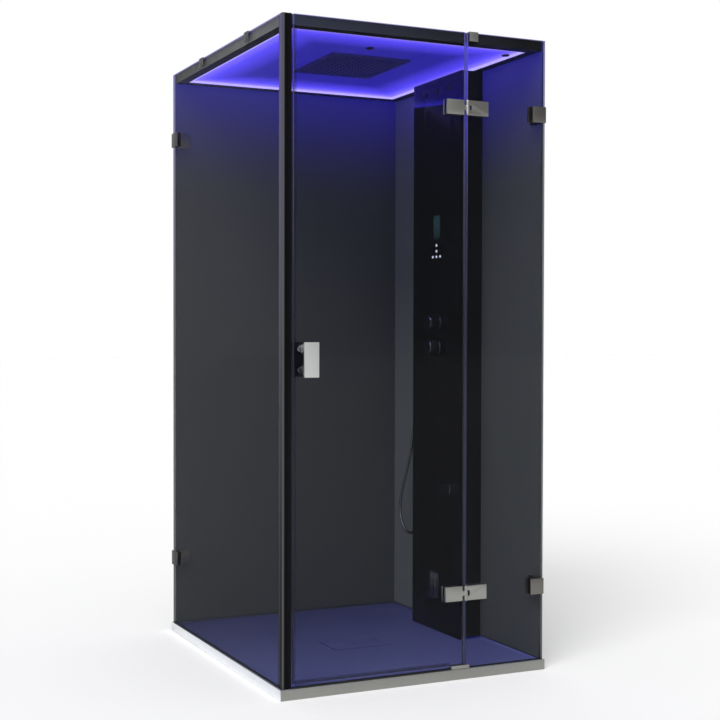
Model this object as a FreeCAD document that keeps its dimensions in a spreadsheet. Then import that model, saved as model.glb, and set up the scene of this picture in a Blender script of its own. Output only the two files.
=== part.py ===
"""Steam shower cabin, square corner model, in millimetres.

X runs along the front to the right, Y runs into the cabin, Z is up.
The origin is the centre of the tray's underside.
"""
import FreeCAD, Part
import math
import os
import Sketcher
from FreeCAD import Placement, Rotation, Vector

SIZES = {
    # tray
    "tray_side": 1000, "tray_height": 34, "apron_thickness": 2, "rim_width": 14,
    "basin_depth": 8, "floor_fall": 6, "flat_ledge": 100,
    "waste_x": 30, "waste_y": -8, "cover_length": 224, "cover_width": 130, "cover_thickness": 3,
    "cover_gap": 4, "cover_peg_height": 4, "cover_peg_radius": 5,
    "waste_flange_radius": 46, "waste_flange_thickness": 2, "waste_tube_radius": 25, "waste_wall": 3,
    # glass and walls
    "cabin_height": 2150, "pane_setback": 6, "glass_thickness": 8, "wall_thickness": 8,
    "setting_height": 3, "corner_trim_leg": 25, "corner_trim_thickness": 2,
    # corner post
    "post_width": 33, "post_depth": 20, "post_wall": 2, "post_leg": 22,
    # door
    "hinge_line_x": 180, "hinge_line_out": 6, "door_gap": 5, "door_head_clearance": 0.3,
    "door_bottom_gap": 14, "magnet_width": 4, "magnet_depth": 12, "magnet_gap": 0.8,
    "seal_wall": 1.6, "seal_grip": 9, "seal_play": 0.1, "bottom_seal_drop": 10,
    "hinge_seal_reach": 9.5, "hinge_seal_thickness": 4, "threshold_height": 3.4, "threshold_depth": 15,
    "foot_length": 70, "foot_width": 16, "foot_height": 13, "foot_grip": 12,
    # hinges
    "hinge_top_drop": 250, "hinge_lower_z": 288, "hinge_height": 49, "leaf_width": 66,
    "leaf_thickness": 8, "leaf_offset": 14, "barrel_radius": 7, "pin_radius": 3, "hinge_play": 0.05,
    "knuckle_gap": 0.3, "gasket_thickness": 1, "bolt_radius": 4, "bolt_play": 0.1,
    "glass_hole_radius": 6, "leaf_bolt_spread": 32,
    # wall clamps and roof clips
    "clamp_side": 54, "clamp_thickness": 6, "clamp_top_drop": 253, "clamp_lower_z": 288,
    "clip_width": 34, "clip_thickness": 3, "clip_height": 31, "clip_reach": 33,
    "front_clip_x": 206, "side_clip_near_y": -215, "side_clip_far_y": 195,
    # handle
    "handle_inset": 41.8, "handle_z": 1070, "handle_width": 50, "handle_height": 110,
    "handle_thickness": 8, "handle_standoff": 38, "standoff_radius": 16, "standoff_spread": 66,
    # roof
    "rail_width": 36, "rail_height": 34, "rail_setback": 2, "ceiling_drop": 26,
    "ceiling_thickness": 6, "light_strip_width": 10, "light_strip_height": 6,
    "roof_cover_drop": 2, "roof_cover_thickness": 2,
    "head_side": 310, "head_thickness": 8, "head_y": -25, "neck_radius": 14,
    "fitting_radius": 13, "fitting_stem_radius": 8, "fitting_height": 4, "fitting_play": 0.2,
    "left_fitting_x": -65, "left_fitting_y": -280, "right_fitting_inset": 25, "right_fitting_depth": 83,
    # column
    "column_width": 332, "column_y": 28, "column_depth": 90, "column_face_thickness": 6,
    "shell_wall": 2, "display_width": 44, "display_height": 87, "display_z": 1556,
    "display_play": 0.3, "key_radius": 5, "key_thickness": 0.8, "key_pitch": 25,
    "power_key_z": 1488, "mode_key_z": 1466, "key_row_z": 1445,
    "control_box_width": 96, "control_box_height": 230, "control_box_depth": 40,
    # valve and knobs
    "thermostat_z": 1196, "diverter_z": 1101, "knob_radius": 29, "knob_length": 39,
    "collar_radius": 33, "collar_thickness": 4, "stem_radius": 5, "stem_length": 26, "stem_play": 0.05,
    "face_hole_play": 1, "flute_radius": 3, "flute_count": 12,
    "valve_width": 44, "valve_depth": 44, "valve_end_margin": 55, "valve_stand_back": 10,
    "inlet_spread": 150, "inlet_radius": 10.5, "inlet_wall": 2.5, "inlet_reach": 16,
    "inlet_thread_length": 14, "inlet_play": 0.25,
    "pipe_radius": 7, "pipe_wall": 1, "pipe_bend": 22, "roof_bend": 8.5, "pipe_stand_back": 22,
    # nozzles
    "nozzle_drop": 48, "nozzle_pitch": 83, "nozzle_radius": 10, "nozzle_height": 6,
    # steam
    "steam_outlet_z": 202, "steam_outlet_height": 96, "steam_outlet_radius": 31, "steam_wall": 2.5,
    "steam_slot_width": 3, "steam_slot_count": 7, "steam_slot_angle": 22, "steam_slot_height": 60,
    "cup_radius": 12, "cup_depth": 14, "cup_wall": 1.5, "cup_lip": 2, "cup_play": 0.3,
    "boiler_width": 240, "boiler_height": 200, "boiler_depth": 70, "boiler_z": 320,
    "gland_z": 650, "gland_radius": 11, "gland_bore_radius": 5, "gland_length": 34,
    # soap tray
    "soap_y": -96, "soap_z": 565, "soap_width": 76, "soap_depth": 46, "soap_height": 32, "soap_wall": 2,
    # hand shower
    "holder_z": 1560, "holder_arm_radius": 7, "holder_ring_radius": 17, "holder_ring_height": 26,
    "holder_slot": 16, "handset_wall_gap": 28, "handset_stand_off": 38, "handset_radius": 13.5,
    "handset_neck_radius": 10.5, "handset_length": 190, "handset_play": 0.3, "nut_length": 76,
    "hose_outlet_z": 545, "hose_radius": 6, "outlet_radius": 11,
}

# Route of the hanging hose, hand-set: below the handset, down behind the column, round its loop and
# up into the outlet elbow. Both ends stand straight in their nuts.
HOSE_ROUTE = [
    (458, 232, 1471), (458, 232, 1380), (456, 233, 1240), (452, 235, 1090), (447, 240, 950),
    (442, 252, 820), (438, 272, 705), (435, 303, 605), (433, 338, 520), (432, 354, 444),
    (432, 335, 385), (433, 291, 353), (435, 246, 366), (437, 224, 410), (438, 219, 458), (438, 219, 508),
]
BEND_SHARE = 0.45

document = FreeCAD.newDocument("steam_shower_cabin")
sheet = document.addObject("Spreadsheet::Sheet", "Sizes")
for row, (alias, number) in enumerate(SIZES.items(), start=1):
    sheet.set(f"A{row}", alias)
    sheet.set(f"B{row}", str(number))
    sheet.setAlias(f"B{row}", alias)
document.recompute()


class Dim:
    """A length that carries both its number and the sheet formula that gives it."""

    def __init__(self, number, formula):
        self.number = number
        self.formula = formula

    def __add__(self, other):
        other = dim(other)
        return Dim(self.number + other.number, f"({self.formula} + {other.formula})")

    def __sub__(self, other):
        other = dim(other)
        return Dim(self.number - other.number, f"({self.formula} - {other.formula})")

    def __mul__(self, other):
        other = dim(other)
        return Dim(self.number * other.number, f"({self.formula} * {other.formula})")

    def __truediv__(self, other):
        other = dim(other)
        return Dim(self.number / other.number, f"({self.formula} / {other.formula})")

    def __radd__(self, other):
        return dim(other) + self

    def __rsub__(self, other):
        return dim(other) - self

    def __rmul__(self, other):
        return dim(other) * self

    def __neg__(self):
        return Dim(-self.number, f"(0 - {self.formula})")


def dim(value):
    """A plain number becomes a length with itself as its formula."""
    return value if isinstance(value, Dim) else Dim(float(value), f"({float(value)})")


class Sheet:
    """The driving sizes by name, read from the spreadsheet."""

    def __init__(self, source):
        for alias in SIZES:
            setattr(self, alias, Dim(float(source.get(alias)), f"Sizes.{alias}"))


S = Sheet(sheet)
NODES = {}

# How a piece drawn flat, or turned about its own Z, is set in the cabin.
DIRECTION = {
    "up": Rotation(),
    "right": Rotation(Vector(0, 1, 0), 90),
    "left": Rotation(Vector(0, 1, 0), -90),
    "back": Rotation(Vector(1, 0, 0), -90),
    "front": Rotation(Vector(1, 0, 0), 90),
    "down": Rotation(Vector(1, 0, 0), 180),
    "side": Rotation(Vector(1, 1, 1), 120),
}


def bind(thing, prop, value):
    """Tie one property to its formula."""
    thing.setExpression(prop, dim(value).formula)


def place(thing, at, direction="up"):
    """Set a piece down at a corner or centre, turned to one of the named directions."""
    at = [dim(value) for value in at]
    thing.Placement = Placement(Vector(*(value.number for value in at)), DIRECTION[direction])
    for axis, value in zip("xyz", at):
        bind(thing, f"Placement.Base.{axis}", value)
    return thing


def node(thing, name):
    """Name a finished piece: its label is its file."""
    thing.Label = name
    NODES[name] = thing
    return thing


def box(name, low, high):
    """A block between two corners."""
    block = document.addObject("Part::Box", name)
    for prop, start, end in zip(("Length", "Width", "Height"), low, high):
        bind(block, prop, dim(end) - start)
    return place(block, low)


def rod(name, at, radius, length, direction="up"):
    """A round bar from its end's centre along a named direction."""
    bar = document.addObject("Part::Cylinder", name)
    bind(bar, "Radius", radius)
    bind(bar, "Height", length)
    return place(bar, at, direction)


def group(name, pieces):
    """Separate solids that share one node."""
    bundle = document.addObject("Part::Compound", name)
    bundle.Links = pieces
    return bundle


def fuse(name, pieces):
    """One solid from touching blocks."""
    union = document.addObject("Part::MultiFuse", name)
    union.Shapes = pieces
    union.Refine = True
    return union


def cut(name, base, tools):
    """A piece less its holes."""
    result = document.addObject("Part::Cut", name)
    result.Base = base
    result.Tool = tools[0] if len(tools) == 1 else group(name + "_holes", tools)
    return result


def new_body(name):
    """An empty body for sketched features."""
    return document.addObject("PartDesign::Body", name)


def datum(body, role):
    """One of the body's own origin planes or axes."""
    return next(item for item in body.Origin.OriginFeatures if item.Role == role)


def sketch_on(body, name, plane="XY_Plane", lift=0):
    """A sketch on an origin plane of its own body, lifted along the plane's normal."""
    sketch = body.newObject("Sketcher::SketchObject", name)
    sketch.AttachmentSupport = [(datum(body, plane), "")]
    sketch.MapMode = "FlatFace"
    lift = dim(lift)
    sketch.AttachmentOffset = Placement(Vector(0, 0, lift.number), Rotation())
    bind(sketch, "AttachmentOffset.Base.z", lift)
    return sketch


def pin_point(sketch, edge, end, axis_name, value):
    """Hold one coordinate of a sketch point to its length."""
    along = "DistanceX" if axis_name == "x" else "DistanceY"
    if abs(value.number) < 1e-9:
        sketch.addConstraint(Sketcher.Constraint("PointOnObject", edge, end, -2 if axis_name == "x" else -1))
        return
    if value.number > 0:
        index = sketch.addConstraint(Sketcher.Constraint(along, -1, 1, edge, end, value.number))
    else:
        value = -value
        index = sketch.addConstraint(Sketcher.Constraint(along, edge, end, -1, 1, value.number))
    sketch.setExpression(f"Constraints[{index}]", value.formula)


def outline(sketch, points):
    """A closed outline through the given corners."""
    points = [(dim(x), dim(y)) for x, y in points]
    edges = []
    for index, (x, y) in enumerate(points):
        to_x, to_y = points[(index + 1) % len(points)]
        line = Part.LineSegment(Vector(x.number, y.number, 0), Vector(to_x.number, to_y.number, 0))
        edges.append(sketch.addGeometry(line))
    for index, edge in enumerate(edges):
        sketch.addConstraint(Sketcher.Constraint("Coincident", edge, 2, edges[(index + 1) % len(edges)], 1))
    for edge, (x, y) in zip(edges, points):
        pin_point(sketch, edge, 1, "x", x)
        pin_point(sketch, edge, 1, "y", y)


def rectangle(sketch, left, bottom, right, top):
    """A closed rectangle between two corners."""
    outline(sketch, [(left, bottom), (right, bottom), (right, top), (left, top)])


def ring(sketch, x, y, radius):
    """A full circle."""
    x, y, radius = dim(x), dim(y), dim(radius)
    edge = sketch.addGeometry(Part.Circle(Vector(x.number, y.number, 0), Vector(0, 0, 1), radius.number))
    pin_point(sketch, edge, 3, "x", x)
    pin_point(sketch, edge, 3, "y", y)
    index = sketch.addConstraint(Sketcher.Constraint("Radius", edge, radius.number))
    sketch.setExpression(f"Constraints[{index}]", radius.formula)


def pad(body, sketch, length, name):
    """Thicken a sketch along its normal."""
    feature = body.newObject("PartDesign::Pad", name)
    feature.Profile = sketch
    bind(feature, "Length", length)
    sketch.Visibility = False
    return feature


def pocket(body, sketch, depth, name):
    """Cut a sketch down into the body, against its normal."""
    feature = body.newObject("PartDesign::Pocket", name)
    feature.Profile = sketch
    bind(feature, "Length", depth)
    sketch.Visibility = False
    return feature


def turned(name, points, at, direction="up"):
    """A turned piece from a (radius, height) outline about its own axis."""
    body = new_body(name)
    profile = sketch_on(body, name + "_profile", "XZ_Plane")
    outline(profile, points)
    turn = body.newObject("PartDesign::Revolution", name + "_turn")
    turn.Profile = profile
    turn.ReferenceAxis = (profile, ["V_Axis"])
    turn.Angle = 360
    return place(body, at, direction)


def extruded(name, points, length, at, direction="up", holes=(), windows=()):
    """A plate or profile drawn flat with round holes and square windows, then thickened."""
    body = new_body(name)
    section = sketch_on(body, name + "_section")
    outline(section, points)
    for x, y, radius in holes:
        ring(section, x, y, radius)
    for corners in windows:
        rectangle(section, *corners)
    pad(body, section, length, name + "_pad")
    return place(body, at, direction)


def bent_path(points, radii):
    """Straight runs joined by tangent arcs, one radius for each inner point."""
    points = [Vector(*point) for point in points]
    edges = []
    start = points[0]
    for before, corner, after, radius in zip(points, points[1:], points[2:], radii):
        way_in = (before - corner).normalize()
        way_out = (after - corner).normalize()
        half_turn = (math.pi - way_in.getAngle(way_out)) / 2
        reach = radius * math.tan(half_turn)
        first = corner + way_in * reach
        last = corner + way_out * reach
        middle_way = (way_in + way_out).normalize()
        middle = corner + middle_way * (radius / math.cos(half_turn) - radius)
        edges.append(Part.LineSegment(start, first).toShape())
        edges.append(Part.Arc(first, middle, last).toShape())
        start = last
    edges.append(Part.LineSegment(start, points[-1]).toShape())
    return Part.Wire(edges)


def sweep_round(path, radius):
    """A solid round bar along a path."""
    start = path.Edges[0]
    tangent = start.tangentAt(start.FirstParameter)
    circle = Part.Circle(start.valueAt(start.FirstParameter), tangent, radius)
    return path.makePipeShell([Part.Wire(circle.toShape())], True, False)


def pipe(points, radius, wall, bend):
    """A hollow pipe with equal bends."""
    points = [[dim(value).number for value in point] for point in points]
    path = bent_path(points, [bend] * (len(points) - 2))
    return sweep_round(path, radius).cut(sweep_round(path, radius - wall))


# Planes and lines that several pieces share.
half_tray = S.tray_side / 2
pane_out = half_tray - S.pane_setback
pane_in = pane_out - S.glass_thickness
wall_in = pane_out - S.wall_thickness
rim_in = half_tray - S.rim_width
sill = S.tray_height
ledge_z = sill - S.basin_depth
low_floor_z = ledge_z - S.floor_fall
pane_low = sill + S.setting_height
top_z = S.cabin_height
post_right = -pane_out + S.post_width
post_back = -pane_out + S.post_depth
hinge_y = -pane_out - S.hinge_line_out
door_right = S.hinge_line_x - S.door_gap
fixed_left = S.hinge_line_x + S.door_gap
post_magnet_right = post_right + S.magnet_width
door_left = post_magnet_right + S.magnet_gap + S.seal_wall + S.magnet_gap
door_low = sill + S.door_bottom_gap
rail_out = pane_in - S.rail_setback
rail_low = top_z - S.rail_height
rail_in = rail_out - S.rail_width
wall_rail_in = wall_in - S.rail_width
face_x = wall_in - S.column_depth
face_back = face_x + S.column_face_thickness
column_near = S.column_y - S.column_width / 2
column_far = S.column_y + S.column_width / 2
plate_front = -pane_out - S.gasket_thickness
plate_back = -pane_in + S.gasket_thickness
foot_right = fixed_left + S.foot_grip
foot_left = foot_right - S.foot_length
valve_front = face_back + S.valve_stand_back
valve_back = valve_front + S.valve_depth
valve_low = S.diverter_z - S.valve_end_margin
valve_top = S.thermostat_z + S.valve_end_margin
pipe_x = face_back + S.pipe_stand_back
inlet_middle_z = (S.thermostat_z + S.diverter_z) / 2
hinge_levels = (S.hinge_lower_z, top_z - S.hinge_top_drop)
clamp_levels = (S.clamp_lower_z, top_z - S.clamp_top_drop)
clamp_middle = pane_out - S.clamp_side / 2
ceiling_z = top_z - S.ceiling_drop
nozzle_z = rail_low - S.nozzle_drop
handle_x = door_left + S.handle_inset
handset_x = wall_in - S.handset_wall_gap
handset_y = column_far + S.handset_stand_off
handset_foot_z = S.holder_z - S.holder_ring_height / 2 - S.nut_length


def tray():
    """Low tray with a basin, a floor that falls to the waste and a pocket for its cover."""
    body = new_body("tray")
    edge = half_tray - S.apron_thickness
    base = sketch_on(body, "tray_base")
    rectangle(base, -edge, -edge, half_tray, half_tray)
    pad(body, base, sill, "tray_block")
    basin = sketch_on(body, "tray_basin", lift=sill)
    rectangle(basin, -rim_in, -rim_in, rim_in, rim_in)
    pocket(body, basin, S.basin_depth, "basin_cut")
    half_length = S.cover_length / 2 + S.cover_gap
    half_width = S.cover_width / 2 + S.cover_gap
    well = (S.waste_x - half_length, S.waste_y - half_width, S.waste_x + half_length, S.waste_y + half_width)
    upper = sketch_on(body, "fall_top", lift=ledge_z)
    slope_edge = rim_in - S.flat_ledge
    rectangle(upper, -slope_edge, -slope_edge, slope_edge, slope_edge)
    lower = sketch_on(body, "fall_bottom", lift=low_floor_z)
    rectangle(lower, *well)
    fall = body.newObject("PartDesign::SubtractiveLoft", "floor_fall_cut")
    fall.Profile = upper
    fall.Sections = [lower]
    well_sketch = sketch_on(body, "well", lift=low_floor_z)
    rectangle(well_sketch, *well)
    pocket(body, well_sketch, S.cover_thickness + S.cover_peg_height, "well_cut")
    hole = sketch_on(body, "waste_hole", lift=low_floor_z)
    ring(hole, S.waste_x, S.waste_y, S.waste_tube_radius + S.inlet_play)
    pocket(body, hole, low_floor_z, "waste_hole_cut")
    node(body, "tray")


def aprons():
    """Bright metal strips on the tray's front and left edges, butted at the corner."""
    edge = half_tray - S.apron_thickness
    front = box("apron_front", (-half_tray, -half_tray, 0), (half_tray, -edge, sill))
    left = box("apron_left", (-half_tray, -edge, 0), (-edge, half_tray, sill))
    node(group("apron_strips", [front, left]), "tray_aprons")


def waste():
    """Flat cover on four pegs, over a flanged waste body."""
    well_floor = low_floor_z - S.cover_thickness - S.cover_peg_height
    cover_low = low_floor_z - S.cover_thickness
    half_length = S.cover_length / 2
    half_width = S.cover_width / 2
    plate = box("cover_plate", (S.waste_x - half_length, S.waste_y - half_width, cover_low),
                (S.waste_x + half_length, S.waste_y + half_width, low_floor_z))
    peg_inset = S.cover_peg_radius * 2
    pegs = []
    for index, (side, end) in enumerate([(-1, -1), (-1, 1), (1, -1), (1, 1)]):
        centre = (S.waste_x + side * (half_length - peg_inset), S.waste_y + end * (half_width - peg_inset),
                  well_floor)
        pegs.append(rod(f"cover_peg_{index}", centre, S.cover_peg_radius, S.cover_peg_height))
    node(fuse("cover_on_pegs", [plate] + pegs), "waste_cover")
    bore = S.waste_tube_radius - S.waste_wall
    flange_top = well_floor + S.waste_flange_thickness
    foot = S.waste_wall
    points = [(bore, foot), (S.waste_tube_radius, foot), (S.waste_tube_radius, well_floor),
              (S.waste_flange_radius, well_floor), (S.waste_flange_radius, flange_top), (bore, flange_top)]
    node(turned("waste_cup", points, (S.waste_x, S.waste_y, 0)), "waste_body")


def walls():
    """Two opaque wall panels, the trim outside their corner and the strips they all stand on."""
    inlet_hole = S.inlet_radius + S.inlet_play
    right = box("right_panel", (wall_in, -pane_in, pane_low), (pane_out, pane_out, top_z))
    holes = []
    for side in (-1, 1):
        height = inlet_middle_z + side * S.inlet_spread / 2
        holes.append(rod("inlet_hole", (wall_in - 1, S.column_y, height), inlet_hole,
                         S.wall_thickness + 2, "right"))
    holes.append(rod("gland_hole", (wall_in - 1, S.column_y, S.gland_z), S.gland_radius + S.inlet_play,
                     S.wall_thickness + 2, "right"))
    node(cut("right_panel_drilled", right, holes), "right_wall")
    back = box("back_panel", (-pane_in, wall_in, pane_low), (wall_in, pane_out, top_z))
    node(back, "back_wall")
    outer = pane_out + S.corner_trim_thickness
    leg = pane_out - S.corner_trim_leg
    points = [(leg, pane_out), (pane_out, pane_out), (pane_out, leg),
              (outer, leg), (outer, outer), (leg, outer)]
    trim = extruded("corner_angle", points, top_z - pane_low, (0, 0, pane_low))
    node(trim, "wall_corner_trim")
    strips = [
        box("strip_left", (-pane_out, post_back, sill), (-pane_in, pane_out, pane_low)),
        box("strip_front", (foot_right, -pane_out, sill), (pane_out, -pane_in, pane_low)),
        box("strip_right", (wall_in, -pane_in, sill), (pane_out, pane_out, pane_low)),
        box("strip_back", (-pane_in, wall_in, sill), (wall_in, pane_out, pane_low)),
    ]
    gasket_back = -rail_out
    strips.append(box("gasket_front", (fixed_left, -pane_in, rail_low), (wall_in, gasket_back, top_z)))
    strips.append(box("gasket_left", (-pane_in, post_back + S.post_leg, rail_low),
                      (gasket_back, wall_in, top_z)))
    node(group("strips", strips), "setting_strips")


def drill(name, centres, radius, low, depth, direction):
    """Round holes of one size through a pane."""
    tools = []
    for index, centre in enumerate(centres):
        if direction == "back":
            at = (centre[0], low, centre[1])
        else:
            at = (low, centre[0], centre[1])
        tools.append(rod(f"{name}_{index}", at, radius, depth, direction))
    return tools


def panes():
    """The fixed front pane and the left side pane, drilled for their fittings."""
    fixed = box("fixed_blank", (fixed_left, -pane_out, pane_low), (pane_out, -pane_in, top_z))
    centres = [(clamp_middle, level) for level in clamp_levels]
    for level in hinge_levels:
        for side in (-1, 1):
            centres.append((leaf_bolt_x(1, side), level))
    depth = S.glass_thickness + 2
    notch = box("foot_notch", (fixed_left, -pane_out, pane_low), (foot_right, -pane_in, foot_top()))
    tools = drill("fixed_hole", centres, S.glass_hole_radius, -pane_out - 1, depth, "back") + [notch]
    node(cut("fixed_drilled", fixed, tools), "fixed_glass")
    side = box("side_blank", (-pane_out, post_back, pane_low), (-pane_in, pane_out, top_z))
    centres = [(clamp_middle, level) for level in clamp_levels]
    tools = drill("side_hole", centres, S.glass_hole_radius, -pane_out - 1, depth, "right")
    node(cut("side_drilled", side, tools), "side_glass")


def foot_top():
    """Top of the floor foot's lower plate, where the fixed pane's corner sits."""
    return sill + S.foot_height - S.gasket_thickness * 4


def leaf_bolt_x(side, row):
    """Where a hinge leaf's bolt stands along the front: side -1 is the door's leaf."""
    centre = S.hinge_line_x + side * (S.leaf_offset + S.leaf_width / 2)
    return centre + row * S.leaf_bolt_spread / 2


def corner_post():
    """Hollow black post with a leg that backs the side pane."""
    low = sill
    points = [(0, 0), (S.post_width, 0), (S.post_width, S.post_depth),
              (S.glass_thickness + S.rail_setback, S.post_depth),
              (S.glass_thickness + S.rail_setback, S.post_depth + S.post_leg),
              (S.glass_thickness, S.post_depth + S.post_leg), (S.glass_thickness, S.post_depth),
              (0, S.post_depth)]
    wall = S.post_wall
    hollow = (wall, wall, S.post_width - wall, S.post_depth - wall)
    post = extruded("post_profile", points, top_z - low, (-pane_out, -pane_out, low), windows=[hollow])
    node(post, "corner_post")
    middle = -pane_out + S.glass_thickness / 2
    half = S.magnet_depth / 2
    magnet = box("post_magnet", (post_right, middle - half, door_low),
                 (post_magnet_right, middle + half, rail_low))
    node(magnet, "post_magnet_seal")


def door_seals():
    """Magnet strip, hinge side fin and bottom sweep on the door glass; head stop on the roof rail."""
    middle = -pane_out + S.glass_thickness / 2
    outer = S.glass_thickness / 2 + S.seal_play + S.seal_wall
    slot = S.glass_thickness / 2 + S.seal_play
    magnet_left = post_magnet_right + S.magnet_gap
    block = box("magnet_block", (magnet_left, middle - outer, door_low),
                (door_left + S.seal_grip, middle + outer, rail_low))
    groove = box("magnet_groove", (door_left, middle - slot, door_low - 1),
                 (door_left + S.seal_grip + 1, middle + slot, rail_low + 1))
    node(cut("magnet_profile", block, [groove]), "door_magnet_seal")
    fin = box("hinge_fin", (door_right, middle - S.hinge_seal_thickness / 2, door_low),
              (door_right + S.hinge_seal_reach, middle + S.hinge_seal_thickness / 2, rail_low))
    node(fin, "door_hinge_seal")
    sweep_low = door_low - S.bottom_seal_drop
    sweep_left = door_left + S.seal_grip + 1
    sweep_right = foot_left - 2
    block = box("sweep_block", (sweep_left, middle - outer, sweep_low),
                (sweep_right, middle + outer, door_low + S.seal_grip))
    groove = box("sweep_groove", (sweep_left - 1, middle - slot, door_low),
                 (sweep_right + 1, middle + slot, door_low + S.seal_grip + 1))
    node(cut("sweep_profile", block, [groove]), "door_bottom_seal")
    stop = box("head_stop", (post_right, -pane_in + S.door_head_clearance, rail_low),
               (door_right, -rail_out, top_z))
    node(stop, "door_head_seal")
    threshold = box("threshold", (post_right, middle - S.threshold_depth / 2, sill),
                    (foot_left, middle + S.threshold_depth / 2, sill + S.threshold_height))
    node(threshold, "threshold_strip")


def pane_foot():
    """Steel foot on the rim that holds the fixed pane's lower corner."""
    middle = -pane_out + S.glass_thickness / 2
    block = box("foot_block", (foot_left, middle - S.foot_width / 2, sill),
                (foot_right, middle + S.foot_width / 2, sill + S.foot_height))
    slot = box("foot_slot", (fixed_left, -pane_out, foot_top()),
               (foot_right + 1, -pane_in, sill + S.foot_height + 1))
    node(cut("foot_slotted", block, [slot]), "pane_foot")


def door_glass():
    """The door pane, drilled for hinges and handle."""
    blank = box("door_blank", (door_left, -pane_out, door_low), (door_right, -pane_in, top_z))
    centres = []
    for level in hinge_levels:
        for row in (-1, 1):
            centres.append((leaf_bolt_x(-1, row), level))
    for side in (-1, 1):
        centres.append((handle_x, S.handle_z + side * S.standoff_spread / 2))
    tools = drill("door_hole", centres, S.glass_hole_radius, -pane_out - 1, S.glass_thickness + 2, "back")
    node(cut("door_drilled", blank, tools), "door_glass")


def hinge_leaf(side, level, index):
    """One leaf of a glass hinge: outer plate with its knuckles and inner plate; side -1 is the door's."""
    tag = f"leaf_{'door' if side < 0 else 'fixed'}_{index}"
    half = S.hinge_height / 2
    near = S.hinge_line_x + side * S.leaf_offset
    far = near + side * S.leaf_width
    left, right = (far, near) if side < 0 else (near, far)
    plate = box(tag + "_outer", (left, plate_front - S.leaf_thickness, level - half),
                (right, plate_front, level + half))
    knuckle = S.hinge_height / 6
    if side < 0:
        spans = [(level - knuckle, level + knuckle)]
    else:
        spans = [(level - half, level - knuckle - S.knuckle_gap),
                 (level + knuckle + S.knuckle_gap, level + half)]
    parts = [plate]
    for number, (low, high) in enumerate(spans):
        arm_left, arm_right = (near, S.hinge_line_x) if side < 0 else (S.hinge_line_x, near)
        parts.append(box(f"{tag}_arm_{number}", (arm_left, hinge_y - S.pin_radius, low),
                         (arm_right, hinge_y + S.pin_radius, high)))
        parts.append(rod(f"{tag}_barrel_{number}", (S.hinge_line_x, hinge_y, low),
                         S.barrel_radius, high - low))
    pin_hole = rod(tag + "_pin_hole", (S.hinge_line_x, hinge_y, level - half - 1),
                   S.pin_radius + S.hinge_play, S.hinge_height + 2)
    outer = cut(tag + "_knuckled", fuse(tag + "_union", parts), [pin_hole])
    inner_blank = box(tag + "_inner", (left, plate_back, level - half),
                      (right, plate_back + S.leaf_thickness, level + half))
    bolt_holes = [rod(f"{tag}_bolt_hole_{row}", (leaf_bolt_x(side, row), plate_back - 1, level),
                      S.bolt_radius + S.bolt_play, S.leaf_thickness + 2, "back") for row in (-1, 1)]
    inner = cut(tag + "_inner_drilled", inner_blank, bolt_holes)
    return [outer, inner]


def gasket_pair(tag, x_range, z_range, centres, turned_to_side=False):
    """Thin gaskets on both faces of a pane, holed for the bolts."""
    pieces = []
    for face, (low, high) in enumerate([(plate_front, -pane_out), (-pane_in, plate_back)]):
        if turned_to_side:
            blank = box(f"{tag}_{face}", (low, x_range[0], z_range[0]), (high, x_range[1], z_range[1]))
            tools = drill(f"{tag}_{face}_hole", centres, S.glass_hole_radius, low - 1,
                          S.gasket_thickness + 2, "right")
        else:
            blank = box(f"{tag}_{face}", (x_range[0], low, z_range[0]), (x_range[1], high, z_range[1]))
            tools = drill(f"{tag}_{face}_hole", centres, S.glass_hole_radius, low - 1,
                          S.gasket_thickness + 2, "back")
        pieces.append(cut(f"{tag}_{face}_ring", blank, tools))
    return pieces


def hinges():
    """Two glass-to-glass hinges: leaves, pins, bolts and gaskets."""
    bolt_length = S.glass_thickness + 2 * S.gasket_thickness + S.leaf_thickness
    gaskets = {-1: [], 1: []}
    bolts = {-1: [], 1: []}
    half = S.hinge_height / 2
    for side, owner in ((1, "hinge_fixed_leaves"), (-1, "hinge_door_leaves")):
        leaves = []
        for index, level in enumerate(hinge_levels):
            leaves += hinge_leaf(side, level, index)
            near = S.hinge_line_x + side * S.leaf_offset
            far = near + side * S.leaf_width
            x_range = (far, near) if side < 0 else (near, far)
            centres = [(leaf_bolt_x(side, row), level) for row in (-1, 1)]
            gaskets[side] += gasket_pair(f"leaf_gasket_{side + 1}_{index}", x_range,
                                         (level - half, level + half), centres)
            for row in (-1, 1):
                bolts[side].append(rod(f"leaf_bolt_{side + 1}_{index}_{row + 1}",
                                       (leaf_bolt_x(side, row), plate_front, level),
                                       S.bolt_radius, bolt_length, "back"))
        node(group(owner + "_pair", leaves), owner)
    pins = [rod(f"pin_{index}", (S.hinge_line_x, hinge_y, level - half), S.pin_radius, S.hinge_height)
            for index, level in enumerate(hinge_levels)]
    node(group("pins", pins), "hinge_pins")
    return gaskets, bolts


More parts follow.
